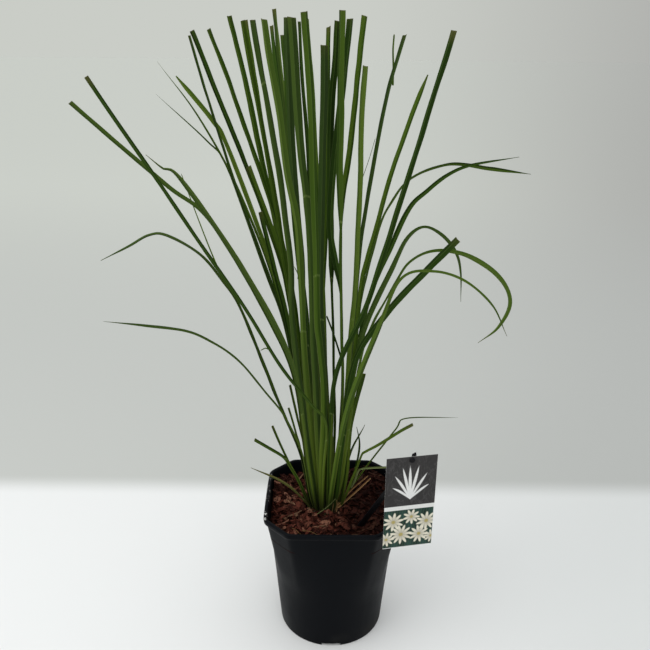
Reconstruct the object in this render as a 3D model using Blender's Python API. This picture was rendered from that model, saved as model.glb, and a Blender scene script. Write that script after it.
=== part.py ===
# Potted ornamental grass clump: a chamfered black nursery pot, potting soil, a bark mulch
# layer, the root crown of the plant, its cut and uncut leaves, and a plant label on a stake.
# Sizes are in millimetres and become metres when the meshes are made. The origin is on the
# floor under the pot's axis, +Z is up and -Y is the side that the photograph shows.
import math

import bmesh
import bpy
from mathutils import Matrix, Vector

MM = 0.001
UP = Vector((0.0, 0.0, 1.0))
BACKWARD = Vector((0.0, 1.0, 0.0))

# Pot
POT_HEIGHT = 190.0
RIM_WIDTH = 175.0
RIM_CHAMFER = 31.5
LIP_OVERHANG = 3.6
LIP_DEPTH = 8.0
BASE_WIDTH = 139.0
LIP_ROUNDING = 1.6
WALL = 1.5
FOOT_WIDTH = 4.5
FOOT_HEIGHT = 5.0
FOOT_ROUNDING = 1.2
FLOOR_THICK = 2.0
ROUND_BELOW = 75.0
ROUND_SWELL = 0.02
CORNER_SHARPNESS = 55.0
CORNER_ROUNDING = 2.0
NOTCH_WIDTH = 25.0
NOTCH_HEIGHT = 4.5
DRAIN_HOLES = 6
DRAIN_DIAMETER = 9.0
DRAIN_CIRCLE = 44.0
TOOL_SPARE = 20.0

# What fills the pot
CLEARANCE = 0.35
FILL_CLEARANCE = 0.6
SOIL_TOP = 157.0
MULCH_TOP = 172.0
MULCH_BUMP = 1.6
MULCH_EDGE_DROP = 2.0
MULCH_BACK_RISE = 3.0
# Where the mulch is heaped against the wall: x, y, height and reach of each heap.
MULCH_HEAPS = ((62.0, 72.0, 13.5, 38.0), (-84.0, 42.0, 12.0, 26.0))
CROWN_CENTRE = (-10.0, 8.0)
CROWN_HALF = (25.0, 21.0)
CROWN_TOP = 163.6
CROWN_PROFILE = ((0.94, 0.0), (1.0, 0.35), (0.96, 0.85), (0.5, 1.0))
MULCH_OPENING = (28.5, 25.0)
LIP_LOW = POT_HEIGHT - LIP_DEPTH
WALL_LEVELS = (0.0, 3.0, 40.0, ROUND_BELOW, 95.0, 115.0, 136.0, SOIL_TOP, LIP_LOW, POT_HEIGHT)

# Label and stake
LABEL_SIZE = (61.5, 125.0)
LABEL_THICK = 0.6
LABEL_TOP_CENTRE = (90.0, -92.0, 305.0)
LABEL_TURN = 11.3
LABEL_HOLE = 5.0
LABEL_HOLE_DROP = 4.8
STAKE_AT_MULCH = (36.6, -40.7, 172.0)
STAKE_BURIED = 60.0
STAKE_WIDTH = 9.0
STAKE_NECK = 4.2
STAKE_THICK = 1.8
PEG_DIAMETER = 3.4
PEG_HEAD = 6.8
PEG_HEAD_THICK = 1.5
STAKE_POINT = 1.6
BARB_WIDTH = 6.3
BARB_TIP = 1.0
NECK_DOWN = 7.0
NECK_BACK = 3.0
BARB_MIDDLE = (2.6, 5.2)
BARB_END = (4.4, 8.6)
ROOM_ABOVE_MULCH = 25.0

# Leaves stand in rows from the front of the clump to its back. A row is a leaning plane:
# where it crosses the crown, and how far it leans back for each millimetre of height.
ROOT_HEIGHT = 165.0
FIRST_ROW_Y = -15.0
ROW_STEP = 5.0
ROW_LEANS = (-0.242, -0.150, -0.105, -0.063, -0.028, 0.008, 0.045, 0.087, 0.133, 0.183)

# Near the mulch every leaf draws in to the crown's middle, and is narrower and thinner.
GATHER = 0.4
GATHER_HEIGHT = 35.0
ROOT_RINGS = (18.0, 50.0)

SHEATH_WIDER = 1.05
SHEATH_TAPER = 0.12
SHEATH_THICK = 1.7
SHEATH_EDGE = 0.8
BLADE_THICK = 0.9
BLADE_EDGE = 0.5
BLADE_NECK = 0.84
FULL_WIDTH_BY = 4.0
FOLD = 0.14
TIP_TAPER = 4.0
TIP_LEFT = 0.09
POINT_LENGTH = {"point": 50.0, "snip": 14.0}
STALK_WIDTH = 0.45
THICKEST = 0.45
THICKEST_EDGE = 0.3
LOOK_UP = 40.0
DEGREES_PER_STATION = 16.0
TWIST_PER_STATION = 60.0
STRAIGHT_STATIONS = 5

DARK = (0.020, 0.062, 0.016, 1.0)
GREEN = (0.034, 0.098, 0.018, 1.0)
LIGHT = (0.072, 0.160, 0.026, 1.0)
STRAW = (0.200, 0.150, 0.055, 1.0)

# Each leaf: name, colour, row, blade width, collar height, end, turns from the root to the
# tip in degrees (0 shows the flat of the leaf to the front), drift of the tip to the back,
# and the route as (x, z) points from the crown up.
LEAVES = (
    ("leaf_01_crossing_dark", DARK, 1, 3.8, 300, "cut", (18, 30), 0,
     (-14, 165), (-12, 240), (-10, 324), (-27, 354), (-62, 411), (-106, 501), (-165, 610),
     (-222, 717)),
    ("leaf_02_front_right_curl", LIGHT, 1, 6.5, 290, "tip",
     (-10, -10, -5, 0, 0, 0, 25, 52, 54, 45, 10), 20,
     (-3, 165), (1, 230), (15, 345), (46, 455), (67, 517), (100, 526), (135, 514), (170, 482),
     (192, 443)),
    ("leaf_03_left_pointed", LIGHT, 2, 4.9, 330, "point", (25, 25), -25,
     (-27, 165), (-31, 240), (-49, 400), (-99, 521), (-154, 619), (-172, 632), (-186, 645)),
    ("leaf_04_tall_front", GREEN, 2, 8.0, 512, "cut", (10, 38), 6,
     (-16, 165), (-13, 300), (-13, 372), (-17, 424), (-21, 469), (-25, 639), (-33, 773)),
    ("leaf_05_tall_right_crossing", DARK, 2, 6.2, 330, "cut", (-15, -45), -14,
     (-5, 165), (-4, 300), (1, 385), (35, 485), (64, 602), (100.5, 758)),
    ("leaf_06_right_thick_cut", DARK, 2, 7.5, 300, "cut", (-30, -40), -18,
     (6, 165), (9, 251), (20, 394), (54, 469), (94, 523), (123.5, 560)),
    ("leaf_07_low_left_straw", STRAW, 3, 3.5, 185, "tip", (35, 50), 0,
     (-39, 165), (-45, 180), (-60, 203), (-78, 219), (-111, 237)),
    ("leaf_08_left_low_droop", GREEN, 3, 3.3, 260, "point",
     (40, 50, 60, 70, 75, 75, 78, 80, 78, 45, 20), -130,
     (-32, 165), (-38, 255), (-58, 326), (-81, 372), (-108, 424), (-133, 454), (-155, 471),
     (-191, 485), (-223, 497)),
    ("leaf_09_high_collar", GREEN, 3, 7.5, 710, "cut", (12, 45), 10,
     (-24, 165), (-35, 300), (-45, 393), (-50, 455), (-51, 527), (-66, 650), (-84, 767)),
    ("leaf_10_broad_collared", GREEN, 3, 8.5, 597, "cut", (-5, -12), -6,
     (-14, 165), (-22, 341), (-29, 536), (-33, 592), (-39, 648), (-47, 769)),
    ("leaf_11_tall_straight", GREEN, 3, 8.0, 568, "stalk", (8, -40), 5,
     (1, 165), (10, 267), (10, 366), (8, 415), (5, 499), (3.5, 568), (1, 637),
     (0.5, 680), (0.5, 776)),
    ("leaf_12_right_long_curl", LIGHT, 3, 5.4, 300, "point",
     (-15, 10, 30, 45, 60, 66, 64, 45, 0, 60, 20), -30,
     (9, 165), (18, 283), (31, 404), (44, 451), (67, 504), (81, 527), (104, 539), (138, 536),
     (173, 515), (190, 485), (181, 454), (160, 435)),
    ("leaf_13_low_right_cut", DARK, 3, 4.0, 259, "cut", (-25, -28, -35, -65, -65, -35, -25), 0,
     (20, 165), (26, 209), (32, 235), (38, 259), (43, 264.5), (60, 276), (85, 297), (99, 307)),
    ("leaf_14_stub_left_low", GREEN, 4, 4.2, 247, "cut", (25, 35), 0,
     (-40, 165), (-48, 208), (-57, 231), (-64.5, 247), (-71, 253.5), (-83, 262), (-102, 275.5)),
    ("leaf_15_long_left_cut", GREEN, 4, 4.6, 340, "cut", (32, 35), -40,
     (-31, 165), (-38, 270), (-49, 364), (-71, 432), (-134, 562), (-181, 607), (-265, 690)),
    ("leaf_16_tall_light", LIGHT, 4, 8.0, 430, "cut", (14, -35), -9,
     (-19, 165), (-35, 377), (-38, 430), (-40, 490), (-43, 553), (-54, 613), (-64, 692),
     (-76, 768)),
    ("leaf_17_front_short_cut", DARK, 4, 8.0, 444, "cut", (-5, 12), 9,
     (-6, 165), (-3, 261), (-9.5, 335), (-16.5, 440), (-18, 530), (-15.5, 677), (-15.5, 745)),
    ("leaf_18_right_pale_cut", LIGHT, 4, 6.4, 447, "cut", (-10, -38), -12,
     (7, 165), (15, 336), (18.5, 430), (23, 531), (23, 644), (25, 726)),
    ("leaf_19_right_short_cut", DARK, 4, 6.0, 290, "cut", (-20, -25), 0,
     (18, 165), (20, 227), (22, 305), (35.5, 373)),
    ("leaf_20_left_high_droop", GREEN, 5, 6.0, 260, "point",
     (55, 68, 70, 68, 60, 62, 75, 85, 90, 80, 45), -60,
     (-38, 165), (-41, 238), (-64, 310), (-107, 448), (-130, 496), (-152, 529), (-185, 551),
     (-203, 552), (-224, 541), (-254, 527)),
    ("leaf_21_tall_light_left", LIGHT, 5, 6.5, 400, "cut", (18, 48), 9,
     (-28, 165), (-39, 336), (-62, 524), (-70, 581), (-80, 643), (-92, 710), (-101, 768)),
    ("leaf_22_tall_broad_dark", DARK, 5, 8.5, 406, "cut", (0, -30), -6,
     (-16, 165), (-28, 329), (-37, 425), (-42, 528), (-49, 616), (-52, 680), (-54, 771)),
    ("leaf_23_tall_right_dark", DARK, 5, 8.0, 478, "stalk", (-8, 30), 13,
     (2, 165), (10.5, 330), (8.5, 415), (6, 475), (-1, 512), (-6, 540), (-6.5, 575), (-3.7, 624),
     (1, 668), (7.5, 730), (12, 771)),
    ("leaf_24_right_bowed", GREEN, 5, 6.5, 330, "tip",
     (0, 0, 0, 0, -5, -10, -10, 10, 50, -15, 30), 20,
     (10, 165), (17, 300), (33, 416), (68, 504), (83, 537), (101, 550), (123, 540), (141, 519),
     (149, 494), (153, 456)),
    ("leaf_25_stub_right_thin", GREEN, 5, 3.0, 230, "tip", (-30, -30), 0,
     (21, 165), (31, 218), (35, 262), (30, 291)),
    ("leaf_26_stub_left", DARK, 6, 3.2, 225, "cut", (25, 30), 0,
     (-40, 165), (-47, 197), (-58, 225), (-80, 286)),
    ("leaf_27_left_inner_short", DARK, 6, 6.0, 330, "cut", (18, 40), -11,
     (-31, 165), (-44, 339), (-67, 472), (-88, 567)),
    ("leaf_28_tall_left_inner", GREEN, 6, 6.0, 350, "cut", (18, 50), 14,
     (-22, 165), (-40, 364), (-62, 519), (-114.5, 687), (-141.5, 760)),
    ("leaf_29_tall_middle_narrow", DARK, 6, 5.5, 477, "cut", (12, -50), 4,
     (-12, 165), (-33, 419), (-48, 580), (-53, 637), (-60, 755)),
    ("leaf_30_tall_right_inner", GREEN, 6, 7.5, 556, "stalk", (-12, -42), -10,
     (4, 165), (11, 348), (8, 425), (5, 515), (5.5, 560), (8, 591), (14.5, 636), (20, 705),
     (27, 774)),
    ("leaf_31_right_pointed", GREEN, 6, 6.0, 380, "snip", (-18, -45), -20,
     (12, 165), (21, 311), (30, 463), (37, 511), (58, 600), (74, 656), (94, 717)),
    ("leaf_32_stub_right_bent", GREEN, 6, 3.0, 225, "tip", (-20, -30), 0,
     (21, 165), (23, 241), (41, 289)),
    ("leaf_33_stub_left_upright", DARK, 7, 3.2, 250, "cut", (20, 25), 0,
     (-36, 165), (-38.5, 245), (-48, 295), (-56.5, 339)),
    ("leaf_34_left_thin_tall", DARK, 7, 4.0, 380, "cut", (38, 55), 13,
     (-31, 165), (-34, 240), (-42, 316), (-58, 406), (-93, 514), (-133, 632), (-167, 754)),
    ("leaf_35_left_inner_cut", GREEN, 7, 7.5, 380, "cut", (18, 38), -7,
     (-22, 165), (-29, 260), (-40, 340), (-63, 491), (-103, 614)),
    ("leaf_36_tallest", LIGHT, 7, 6.0, 607, "cut", (6, -42), 7,
     (-11, 165), (-28, 328), (-45, 526), (-62, 702), (-71, 782)),
    ("leaf_37_tall_back_dark", DARK, 7, 8.0, 482, "stalk", (-8, 25), -8,
     (1, 165), (2, 290), (-1, 382), (-4.7, 481), (-6.5, 546), (-9, 630), (-7, 690), (-3.5, 730),
     (-2, 770)),
    ("leaf_38_right_high_arch", DARK, 7, 6.5, 400, "tip",
     (-25, -25, -25, -25, -28, -38, -30, -10, 10, 20, 20), 60,
     (10, 165), (20, 317), (42, 444), (69.5, 516), (90, 560.5), (110, 580), (137, 600), (167, 611),
     (226, 619)),
    ("leaf_39_low_right_thin", GREEN, 7, 2.5, 220, "tip", (-25, 40), 30,
     (20, 165), (52, 225), (84, 273), (98, 287), (171, 280)),
    ("leaf_40_stub_left_thin", GREEN, 8, 2.8, 230, "cut", (20, 25), 0,
     (-38, 165), (-44.5, 240), (-50, 264), (-59.5, 301.5)),
    ("leaf_41_left_torn_olive", LIGHT, 8, 5.5, 380, "snip", (20, 30), -12,
     (-30, 165), (-36, 240), (-50, 362), (-65, 448), (-81, 499), (-128, 631), (-144, 661.5),
     (-185, 711)),
    ("leaf_42_tall_left", DARK, 8, 6.5, 370, "cut", (20, 48), -9,
     (-21, 165), (-42, 354), (-56, 441), (-72, 511), (-119, 639), (-166, 759)),
    ("leaf_43_tall_back_middle", GREEN, 8, 6.5, 400, "cut", (8, -44), 11,
     (-6, 165), (-15, 459), (-29.5, 697), (-35, 773)),
    ("leaf_44_right_far_arch", GREEN, 8, 5.5, 400, "point",
     (-30, -10, 10, 35, 55, 62, 60, 55, 40, 15, 0), 108,
     (9, 165), (28, 403), (52, 517), (70, 560), (97, 590), (147, 605), (203, 597),
     (262, 587)),
    ("leaf_45_left_thin_high", GREEN, 9, 3.4, 380, "tip", (25, 30), -20,
     (-29, 165), (-61, 402), (-112, 561), (-163, 661), (-210, 726)),
    ("leaf_46_tall_back_left", GREEN, 9, 7.5, 360, "cut", (20, 44), 14,
     (-20, 165), (-43, 347), (-75, 529), (-110, 693), (-130, 777)),
    ("leaf_47_back_narrow", DARK, 9, 5.5, 420, "cut", (10, 50), -8,
     (-10, 165), (-24, 389), (-34.5, 603), (-47, 771)),
    ("leaf_48_back_narrow_right", GREEN, 9, 6.5, 469, "cut", (0, -40), 5,
     (0, 165), (-6, 250), (-15, 350), (-16.5, 420), (-14.6, 467), (-10.7, 560), (-11.5, 640),
     (-11, 766)),
    ("leaf_49_left_thin_low", GREEN, 10, 3.2, 360, "tip", (25, 30), 22,
     (-24, 165), (-61, 381), (-92, 471), (-139, 597), (-166, 631), (-230, 686)),
    ("leaf_50_back_left_inner", LIGHT, 10, 6.5, 380, "cut", (18, 46), -11,
     (-15, 165), (-35, 301), (-67, 486), (-78.5, 560), (-89, 628), (-103, 712), (-112, 773)),
    ("leaf_51_back_middle", DARK, 10, 6.5, 400, "cut", (10, -42), 12,
     (-6, 165), (-33, 356), (-58, 585), (-81, 768)),
    ("leaf_52_back_right_tall", DARK, 10, 6.0, 380, "cut", (-15, -48), -15,
     (5, 165), (23, 357), (32, 501), (50.5, 626), (63, 695), (81, 758)),
)


def clear_scene():
    for old in list(bpy.data.objects):
        bpy.data.objects.remove(old, do_unlink=True)


def paint(node, colour, roughness):
    material = bpy.data.materials.new(node.name + "_surface")
    material.use_nodes = True
    shader = material.node_tree.nodes["Principled BSDF"]
    shader.inputs["Base Color"].default_value = colour
    shader.inputs["Roughness"].default_value = roughness
    shader.inputs["Metallic"].default_value = 0.0
    node.data.materials.append(material)


def node_from_bmesh(name, shape, smooth):
    bmesh.ops.recalc_face_normals(shape, faces=shape.faces)
    for face in shape.faces:
        face.smooth = smooth
    mesh = bpy.data.meshes.new(name)
    shape.to_mesh(mesh)
    shape.free()
    node = bpy.data.objects.new(name, mesh)
    bpy.context.collection.objects.link(node)
    return node


def stacked_rings(name, rings, smooth, hollow=False):
    """Joins rings of points, given in millimetres, into one closed body. A hollow body's
    last ring meets its first one, and any other body gets a cap at each end. Each four-sided
    gap is split the same way round, low point to high point, so nested walls keep apart."""
    shape = bmesh.new()
    loops = [[shape.verts.new(point * MM) for point in ring] for ring in rings]
    pairs = list(zip(loops[:-1], loops[1:]))
    if hollow:
        pairs.append((loops[-1], loops[0]))
    else:
        shape.faces.new(loops[0])
        shape.faces.new(loops[-1])
    for first, second in pairs:
        low, high = (first, second) if second[0].co.z >= first[0].co.z else (second, first)
        count = len(low)
        for i in range(count):
            j = (i + 1) % count
            shape.faces.new((low[i], low[j], high[j]))
            shape.faces.new((low[i], high[j], high[i]))
    return node_from_bmesh(name, shape, smooth)


def tool(node):
    node.hide_render = True
    node.display_type = "WIRE"
    return node


def combine(node, cutter, operation):
    change = node.modifiers.new(operation.lower() + "_" + cutter.name, "BOOLEAN")
    change.operation = operation
    change.solver = "EXACT"
    change.object = tool(cutter)


def cylinder(name, centre, axis, radius, length, sides):
    shape = bmesh.new()
    turn = UP.rotation_difference(axis).to_matrix().to_4x4()
    place = Matrix.Translation(centre * MM) @ turn
    bmesh.ops.create_cone(shape, cap_ends=True, segments=sides, radius1=radius * MM,
                          radius2=radius * MM, depth=length * MM, matrix=place)
    return node_from_bmesh(name, shape, False)


def box(name, centre, size):
    shape = bmesh.new()
    scale = Matrix.Diagonal((size[0] * MM, size[1] * MM, size[2] * MM, 1.0))
    bmesh.ops.create_cube(shape, size=1.0, matrix=Matrix.Translation(Vector(centre) * MM) @ scale)
    return node_from_bmesh(name, shape, False)


# The pot's wall. It is a square with chamfered corners at the rim and turns round lower down.
def wall_angles():
    """One quarter of the wall has points at its flats, at both chamfer corners and between."""
    corner = math.degrees(math.atan2(RIM_WIDTH / 2 - RIM_CHAMFER, RIM_WIDTH / 2))
    half = (0.0, 14.0, 26.0, corner - CORNER_ROUNDING, corner + CORNER_ROUNDING, 45.0)
    quarter = half + tuple(90.0 - angle for angle in half[-2:0:-1])
    return [math.radians(angle + 90.0 * turn) for turn in range(4) for angle in quarter]


def octagon_radius(angle, half_width):
    """Distance from the axis to the chamfered square, its corners slightly rounded."""
    chamfer = half_width * (2.0 - RIM_CHAMFER / (RIM_WIDTH / 2)) / math.sqrt(2.0)
    total = 0.0
    for k in range(8):
        reach = math.cos(angle - math.radians(45.0 * k))
        if reach > 0.0:
            distance = half_width if k % 2 == 0 else chamfer
            total += (reach / distance) ** CORNER_SHARPNESS
    return total ** (-1.0 / CORNER_SHARPNESS)


def level_radius(angle, height):
    """Outer radius of the wall at one of its levels."""
    top_half = RIM_WIDTH / 2 - LIP_OVERHANG
    rise = height / LIP_LOW
    half_width = BASE_WIDTH / 2 + (top_half - BASE_WIDTH / 2) * rise
    squareness = max(0.0, min(1.0, (height - ROUND_BELOW) / (LIP_LOW - ROUND_BELOW)))
    round_radius = half_width * (1.0 + ROUND_SWELL * rise)
    return round_radius + (octagon_radius(angle, half_width) - round_radius) * squareness


def wall_ring(height, inset):
    """The wall is straight between its levels, so what lies against it stays clear of it."""
    ring = []
    for low, high in zip(WALL_LEVELS[:-1], WALL_LEVELS[1:]):
        if low <= height <= high:
            share = (height - low) / (high - low)
            break
    for angle in wall_angles():
        radius = level_radius(angle, low) * (1.0 - share) + level_radius(angle, high) * share
        radius -= inset
        ring.append(Vector((radius * math.cos(angle), radius * math.sin(angle), height)))
    return ring


def make_pot():
    rings = [
        wall_ring(FOOT_HEIGHT, FOOT_WIDTH),
        wall_ring(0.0, FOOT_WIDTH),
        wall_ring(0.0, FOOT_ROUNDING),
    ]
    rings += [wall_ring(level, 0.0) for level in WALL_LEVELS[1:-1]]
    rings += [
        wall_ring(LIP_LOW, LIP_ROUNDING / 2 - LIP_OVERHANG),
        wall_ring(LIP_LOW + LIP_ROUNDING, -LIP_OVERHANG),
        wall_ring(POT_HEIGHT - LIP_ROUNDING, -LIP_OVERHANG),
        wall_ring(POT_HEIGHT, LIP_ROUNDING - LIP_OVERHANG),
        wall_ring(POT_HEIGHT, 0.0),
        wall_ring(POT_HEIGHT - LIP_ROUNDING, WALL),
    ]
    rings += [wall_ring(level, WALL) for level in reversed(WALL_LEVELS[2:-1])]
    rings.append(wall_ring(FOOT_HEIGHT + FLOOR_THICK, WALL))
    pot = stacked_rings("pot", rings, smooth=True)
    paint(pot, (0.008, 0.009, 0.011, 1.0), 0.42)
    long_side = BASE_WIDTH + TOOL_SPARE * 2
    notch_size = (NOTCH_WIDTH, long_side, NOTCH_HEIGHT * 2)
    combine(pot, box("notch_front_back", (0, 0, 0), notch_size), "DIFFERENCE")
    notch_size = (long_side, NOTCH_WIDTH, NOTCH_HEIGHT * 2)
    combine(pot, box("notch_left_right", (0, 0, 0), notch_size), "DIFFERENCE")
    for i in range(DRAIN_HOLES):
        angle = math.tau * (i + 0.5) / DRAIN_HOLES
        centre = Vector((math.cos(angle), math.sin(angle), 0.0)) * DRAIN_CIRCLE
        centre.z = FOOT_HEIGHT
        name = "drain_%d" % (i + 1)
        drain = cylinder(name, centre, UP, DRAIN_DIAMETER / 2, TOOL_SPARE, 12)
        combine(pot, drain, "DIFFERENCE")


def make_soil(stake_room):
    inset = WALL + FILL_CLEARANCE
    bottom = FOOT_HEIGHT + FLOOR_THICK + CLEARANCE
    rings = [wall_ring(level, inset) for level in (bottom,) + WALL_LEVELS[2:-2]]
    soil = stacked_rings("potting_soil", rings, smooth=False)
    paint(soil, (0.016, 0.010, 0.007, 1.0), 0.95)
    combine(soil, stake_room, "DIFFERENCE")


def oval_ring(half_size, height):
    """A level ring around the crown, with points at the same angles as the pot's wall."""
    ring = []
    for angle in wall_angles():
        x = CROWN_CENTRE[0] + half_size[0] * math.cos(angle)
        y = CROWN_CENTRE[1] + half_size[1] * math.sin(angle)
        ring.append(Vector((x, y, height)))
    return ring


def bumpy(ring, level):
    """Lifts and lowers the points of a ring by up to the mulch's bump. Behind the pot's axis
    the mulch also rises toward the back wall, and most where it is heaped."""
    for point in ring:
        wave = math.sin(point.x * 0.21 + 1.7) * math.sin(point.y * 0.17 + 0.4)
        wave += math.sin(point.x * 0.09 - point.y * 0.26)
        rise = MULCH_BACK_RISE * max(0.0, point.y / (RIM_WIDTH / 2))
        for x, y, height, reach in MULCH_HEAPS:
            away = math.hypot(point.x - x, point.y - y) / reach
            rise += height * math.exp(-away * away / 2.0)
        point.z = level + MULCH_BUMP * 0.5 * wave + rise
    return ring


def make_mulch(stake_room):
    inset = WALL + FILL_CLEARANCE
    outer_low = wall_ring(SOIL_TOP + CLEARANCE, inset)
    edge_top = MULCH_TOP - MULCH_EDGE_DROP
    outer_top = bumpy(wall_ring(edge_top - MULCH_BUMP, inset), edge_top)
    inner_top = oval_ring(MULCH_OPENING, MULCH_TOP)
    rings = [outer_low, outer_top]
    for share in (0.3, 0.65):
        between = [a.lerp(b, share) for a, b in zip(outer_top, inner_top)]
        rings.append(bumpy(between, edge_top + MULCH_EDGE_DROP * share))
    rings.append(bumpy(inner_top, MULCH_TOP - MULCH_EDGE_DROP / 2))
    rings.append(oval_ring(MULCH_OPENING, SOIL_TOP + CLEARANCE))
    mulch = stacked_rings("bark_mulch", rings, smooth=False, hollow=True)
    paint(mulch, (0.085, 0.028, 0.018, 1.0), 0.9)
    combine(mulch, stake_room, "DIFFERENCE")


def make_crown():
    bottom = SOIL_TOP + CLEARANCE
    rings = []
    for share, rise in CROWN_PROFILE:
        half_size = (CROWN_HALF[0] * share, CROWN_HALF[1] * share)
        rings.append(oval_ring(half_size, bottom + (CROWN_TOP - bottom) * rise))
    crown = stacked_rings("root_crown", rings, smooth=True)
    paint(crown, (0.060, 0.045, 0.022, 1.0), 0.85)


# A leaf is a folded strip, swept along its route.
def curve_point(points, position):
    """Catmull-Rom curve through the points. Position runs from 0 to the last point's index."""
    last = len(points) - 1
    i = min(int(position), last - 1)
    t = position - i
    b = points[i]
    c = points[i + 1]
    a = points[i - 1] if i > 0 else b * 2.0 - c
    d = points[i + 2] if i + 2 <= last else c * 2.0 - b
    return 0.5 * (2.0 * b + (c - a) * t + (2.0 * a - 5.0 * b + 4.0 * c - d) * t * t
                  + (3.0 * b - a - 3.0 * c + d) * t * t * t)


def along_route(points, fractions):
    """Points of the smooth curve at the given fractions of its length."""
    steps = 24 * (len(points) - 1)
    fine = [curve_point(points, (len(points) - 1) * i / steps) for i in range(steps + 1)]
    lengths = [0.0]
    for a, b in zip(fine[:-1], fine[1:]):
        lengths.append(lengths[-1] + (b - a).length)
    spine = []
    i = 0
    for fraction in fractions:
        target = fraction * lengths[-1]
        while i < steps - 1 and lengths[i + 1] < target:
            i += 1
        share = (target - lengths[i]) / (lengths[i + 1] - lengths[i])
        spine.append(fine[i].lerp(fine[i + 1], share))
    return spine


def leaf_points(row, drift, route):
    """Puts a leaf's (x, z) route on its row's leaning plane and adds the tip's drift."""
    reach = [0.0]
    for a, b in zip(route[:-1], route[1:]):
        reach.append(reach[-1] + math.dist(a, b))
    points = []
    for (x, z), length in zip(route, reach):
        y = FIRST_ROW_Y + ROW_STEP * (row - 1) + ROW_LEANS[row - 1] * (z - ROOT_HEIGHT)
        y += drift * (length / reach[-1]) ** 2
        points.append(Vector((x, y, z)))
    return points


def bend_of(points):
    """How far a route turns in all, in degrees."""
    total = 0.0
    for a, b, c in zip(points[:-2], points[1:-1], points[2:]):
        total += math.degrees((b - a).angle(c - b))
    return total


def drawn_in(height):
    """Share that is left, at a height, of a leaf's size and distance from the crown."""
    return 1.0 - GATHER * math.exp((ROOT_HEIGHT - height) / GATHER_HEIGHT)


def route_length(points):
    return sum((b - a).length for a, b in zip(points[:-1], points[1:]))


def twist_of(turns):
    """How far a leaf turns about its own length in all, in degrees."""
    return sum(abs(b - a) for a, b in zip(turns[:-1], turns[1:]))


def ring_fractions(points, turns, end):
    """Where a leaf has its rings, as shares of its length: even, more of them on a leaf that
    bends or twists, two close to the root, where it draws in, and one where its point starts."""
    length = route_length(points)
    even = STRAIGHT_STATIONS + int(bend_of(points) / DEGREES_PER_STATION)
    even += int(twist_of(turns) / TWIST_PER_STATION)
    fractions = [i / even for i in range(even + 1)]
    fractions += [reach / length for reach in ROOT_RINGS if reach * even < length]
    if end in POINT_LENGTH:
        fractions.append(1.0 - POINT_LENGTH[end] / length)
    return sorted(fractions)


def leaf_width(fraction, collar, width, end, length):
    """Width along the leaf: a wide sheath, a neck at the collar, then the blade. A "tip" leaf
    narrows more and more, a "point" leaf only near its end, a "snip" leaf only at its end, and
    a "cut" leaf not at all. A "stalk" leaf is cut too and is a thin stalk below its collar."""
    if fraction <= collar:
        sheath = STALK_WIDTH if end == "stalk" else SHEATH_WIDER
        return width * sheath * (1.0 - SHEATH_TAPER * fraction / collar)
    blade = (fraction - collar) / (1.0 - collar)
    if end == "tip":
        return width * max(TIP_LEFT, 1.0 - blade ** TIP_TAPER)
    to_tip = (1.0 - fraction) * length
    if to_tip < POINT_LENGTH.get(end, 0.0):
        return width * max(TIP_LEFT, to_tip / POINT_LENGTH[end])
    return width * (BLADE_NECK + (1.0 - BLADE_NECK) * min(1.0, blade * FULL_WIDTH_BY))


def turn_at(turns, fraction):
    """A leaf's turn about its own length, from values that are spaced evenly along it."""
    place = fraction * (len(turns) - 1)
    i = min(int(place), len(turns) - 2)
    return math.radians(turns[i] + (turns[i + 1] - turns[i]) * (place - i))


def leaf_section(width, thick, edge):
    """Six points: two edges and the midrib on the upper side, then back along the keel."""
    half = width / 2
    rise = width * FOLD
    return ((-half, rise), (0.0, 0.0), (half, rise), (half, rise - edge), (0.0, -thick),
            (-half, rise - edge))


def make_leaf(name, colour, row, width, collar_height, end, turns, drift, *route):
    points = leaf_points(row, drift, route)
    fractions = ring_fractions(points, turns, end)
    spine = along_route(points, fractions)
    crown = Vector((CROWN_CENTRE[0], CROWN_CENTRE[1], 0.0))
    for point in spine:
        share = drawn_in(point.z)
        point.x = crown.x + (point.x - crown.x) * share
        point.y = crown.y + (point.y - crown.y) * share
    collar = next(f for f, point in zip(fractions, spine) if point.z >= collar_height)
    middle = spine[len(spine) * 2 // 3]
    inward = Vector((crown.x - middle.x, crown.y - middle.y, LOOK_UP))
    length = route_length(points)
    rings = []
    facing = 0.0
    for i, (fraction, centre) in enumerate(zip(fractions, spine)):
        ahead = spine[min(i + 1, len(spine) - 1)]
        behind = spine[max(i - 1, 0)]
        tangent = (ahead - behind).normalized()
        level = BACKWARD.cross(tangent).normalized()
        turn = turn_at(turns, fraction)
        side = level * math.cos(turn) + tangent.cross(level) * math.sin(turn)
        upper = side.cross(tangent)
        if facing == 0.0:
            facing = 1.0 if upper.dot(inward) > 0.0 else -1.0
        in_sheath = fraction <= collar
        share = drawn_in(centre.z)
        here = leaf_width(fraction, collar, width, end, length) * share
        thick = (SHEATH_THICK if in_sheath else BLADE_THICK) * share
        edge = (SHEATH_EDGE if in_sheath else BLADE_EDGE) * share
        thick = min(thick, here * THICKEST)
        edge = min(edge, here * THICKEST_EDGE)
        section = leaf_section(here, thick, edge)
        rings.append([centre + side * u + upper * (v * facing) for u, v in section])
    leaf = stacked_rings(name, rings, smooth=True)
    paint(leaf, colour, 0.45)


# The label hangs on the stake's peg, in front of the stake.
def label_axes():
    turn = math.radians(LABEL_TURN)
    across = Vector((math.cos(turn), math.sin(turn), 0.0))
    front = Vector((math.sin(turn), -math.cos(turn), 0.0))
    return across, front


def hole_centre():
    return Vector(LABEL_TOP_CENTRE) - UP * LABEL_HOLE_DROP


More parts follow.
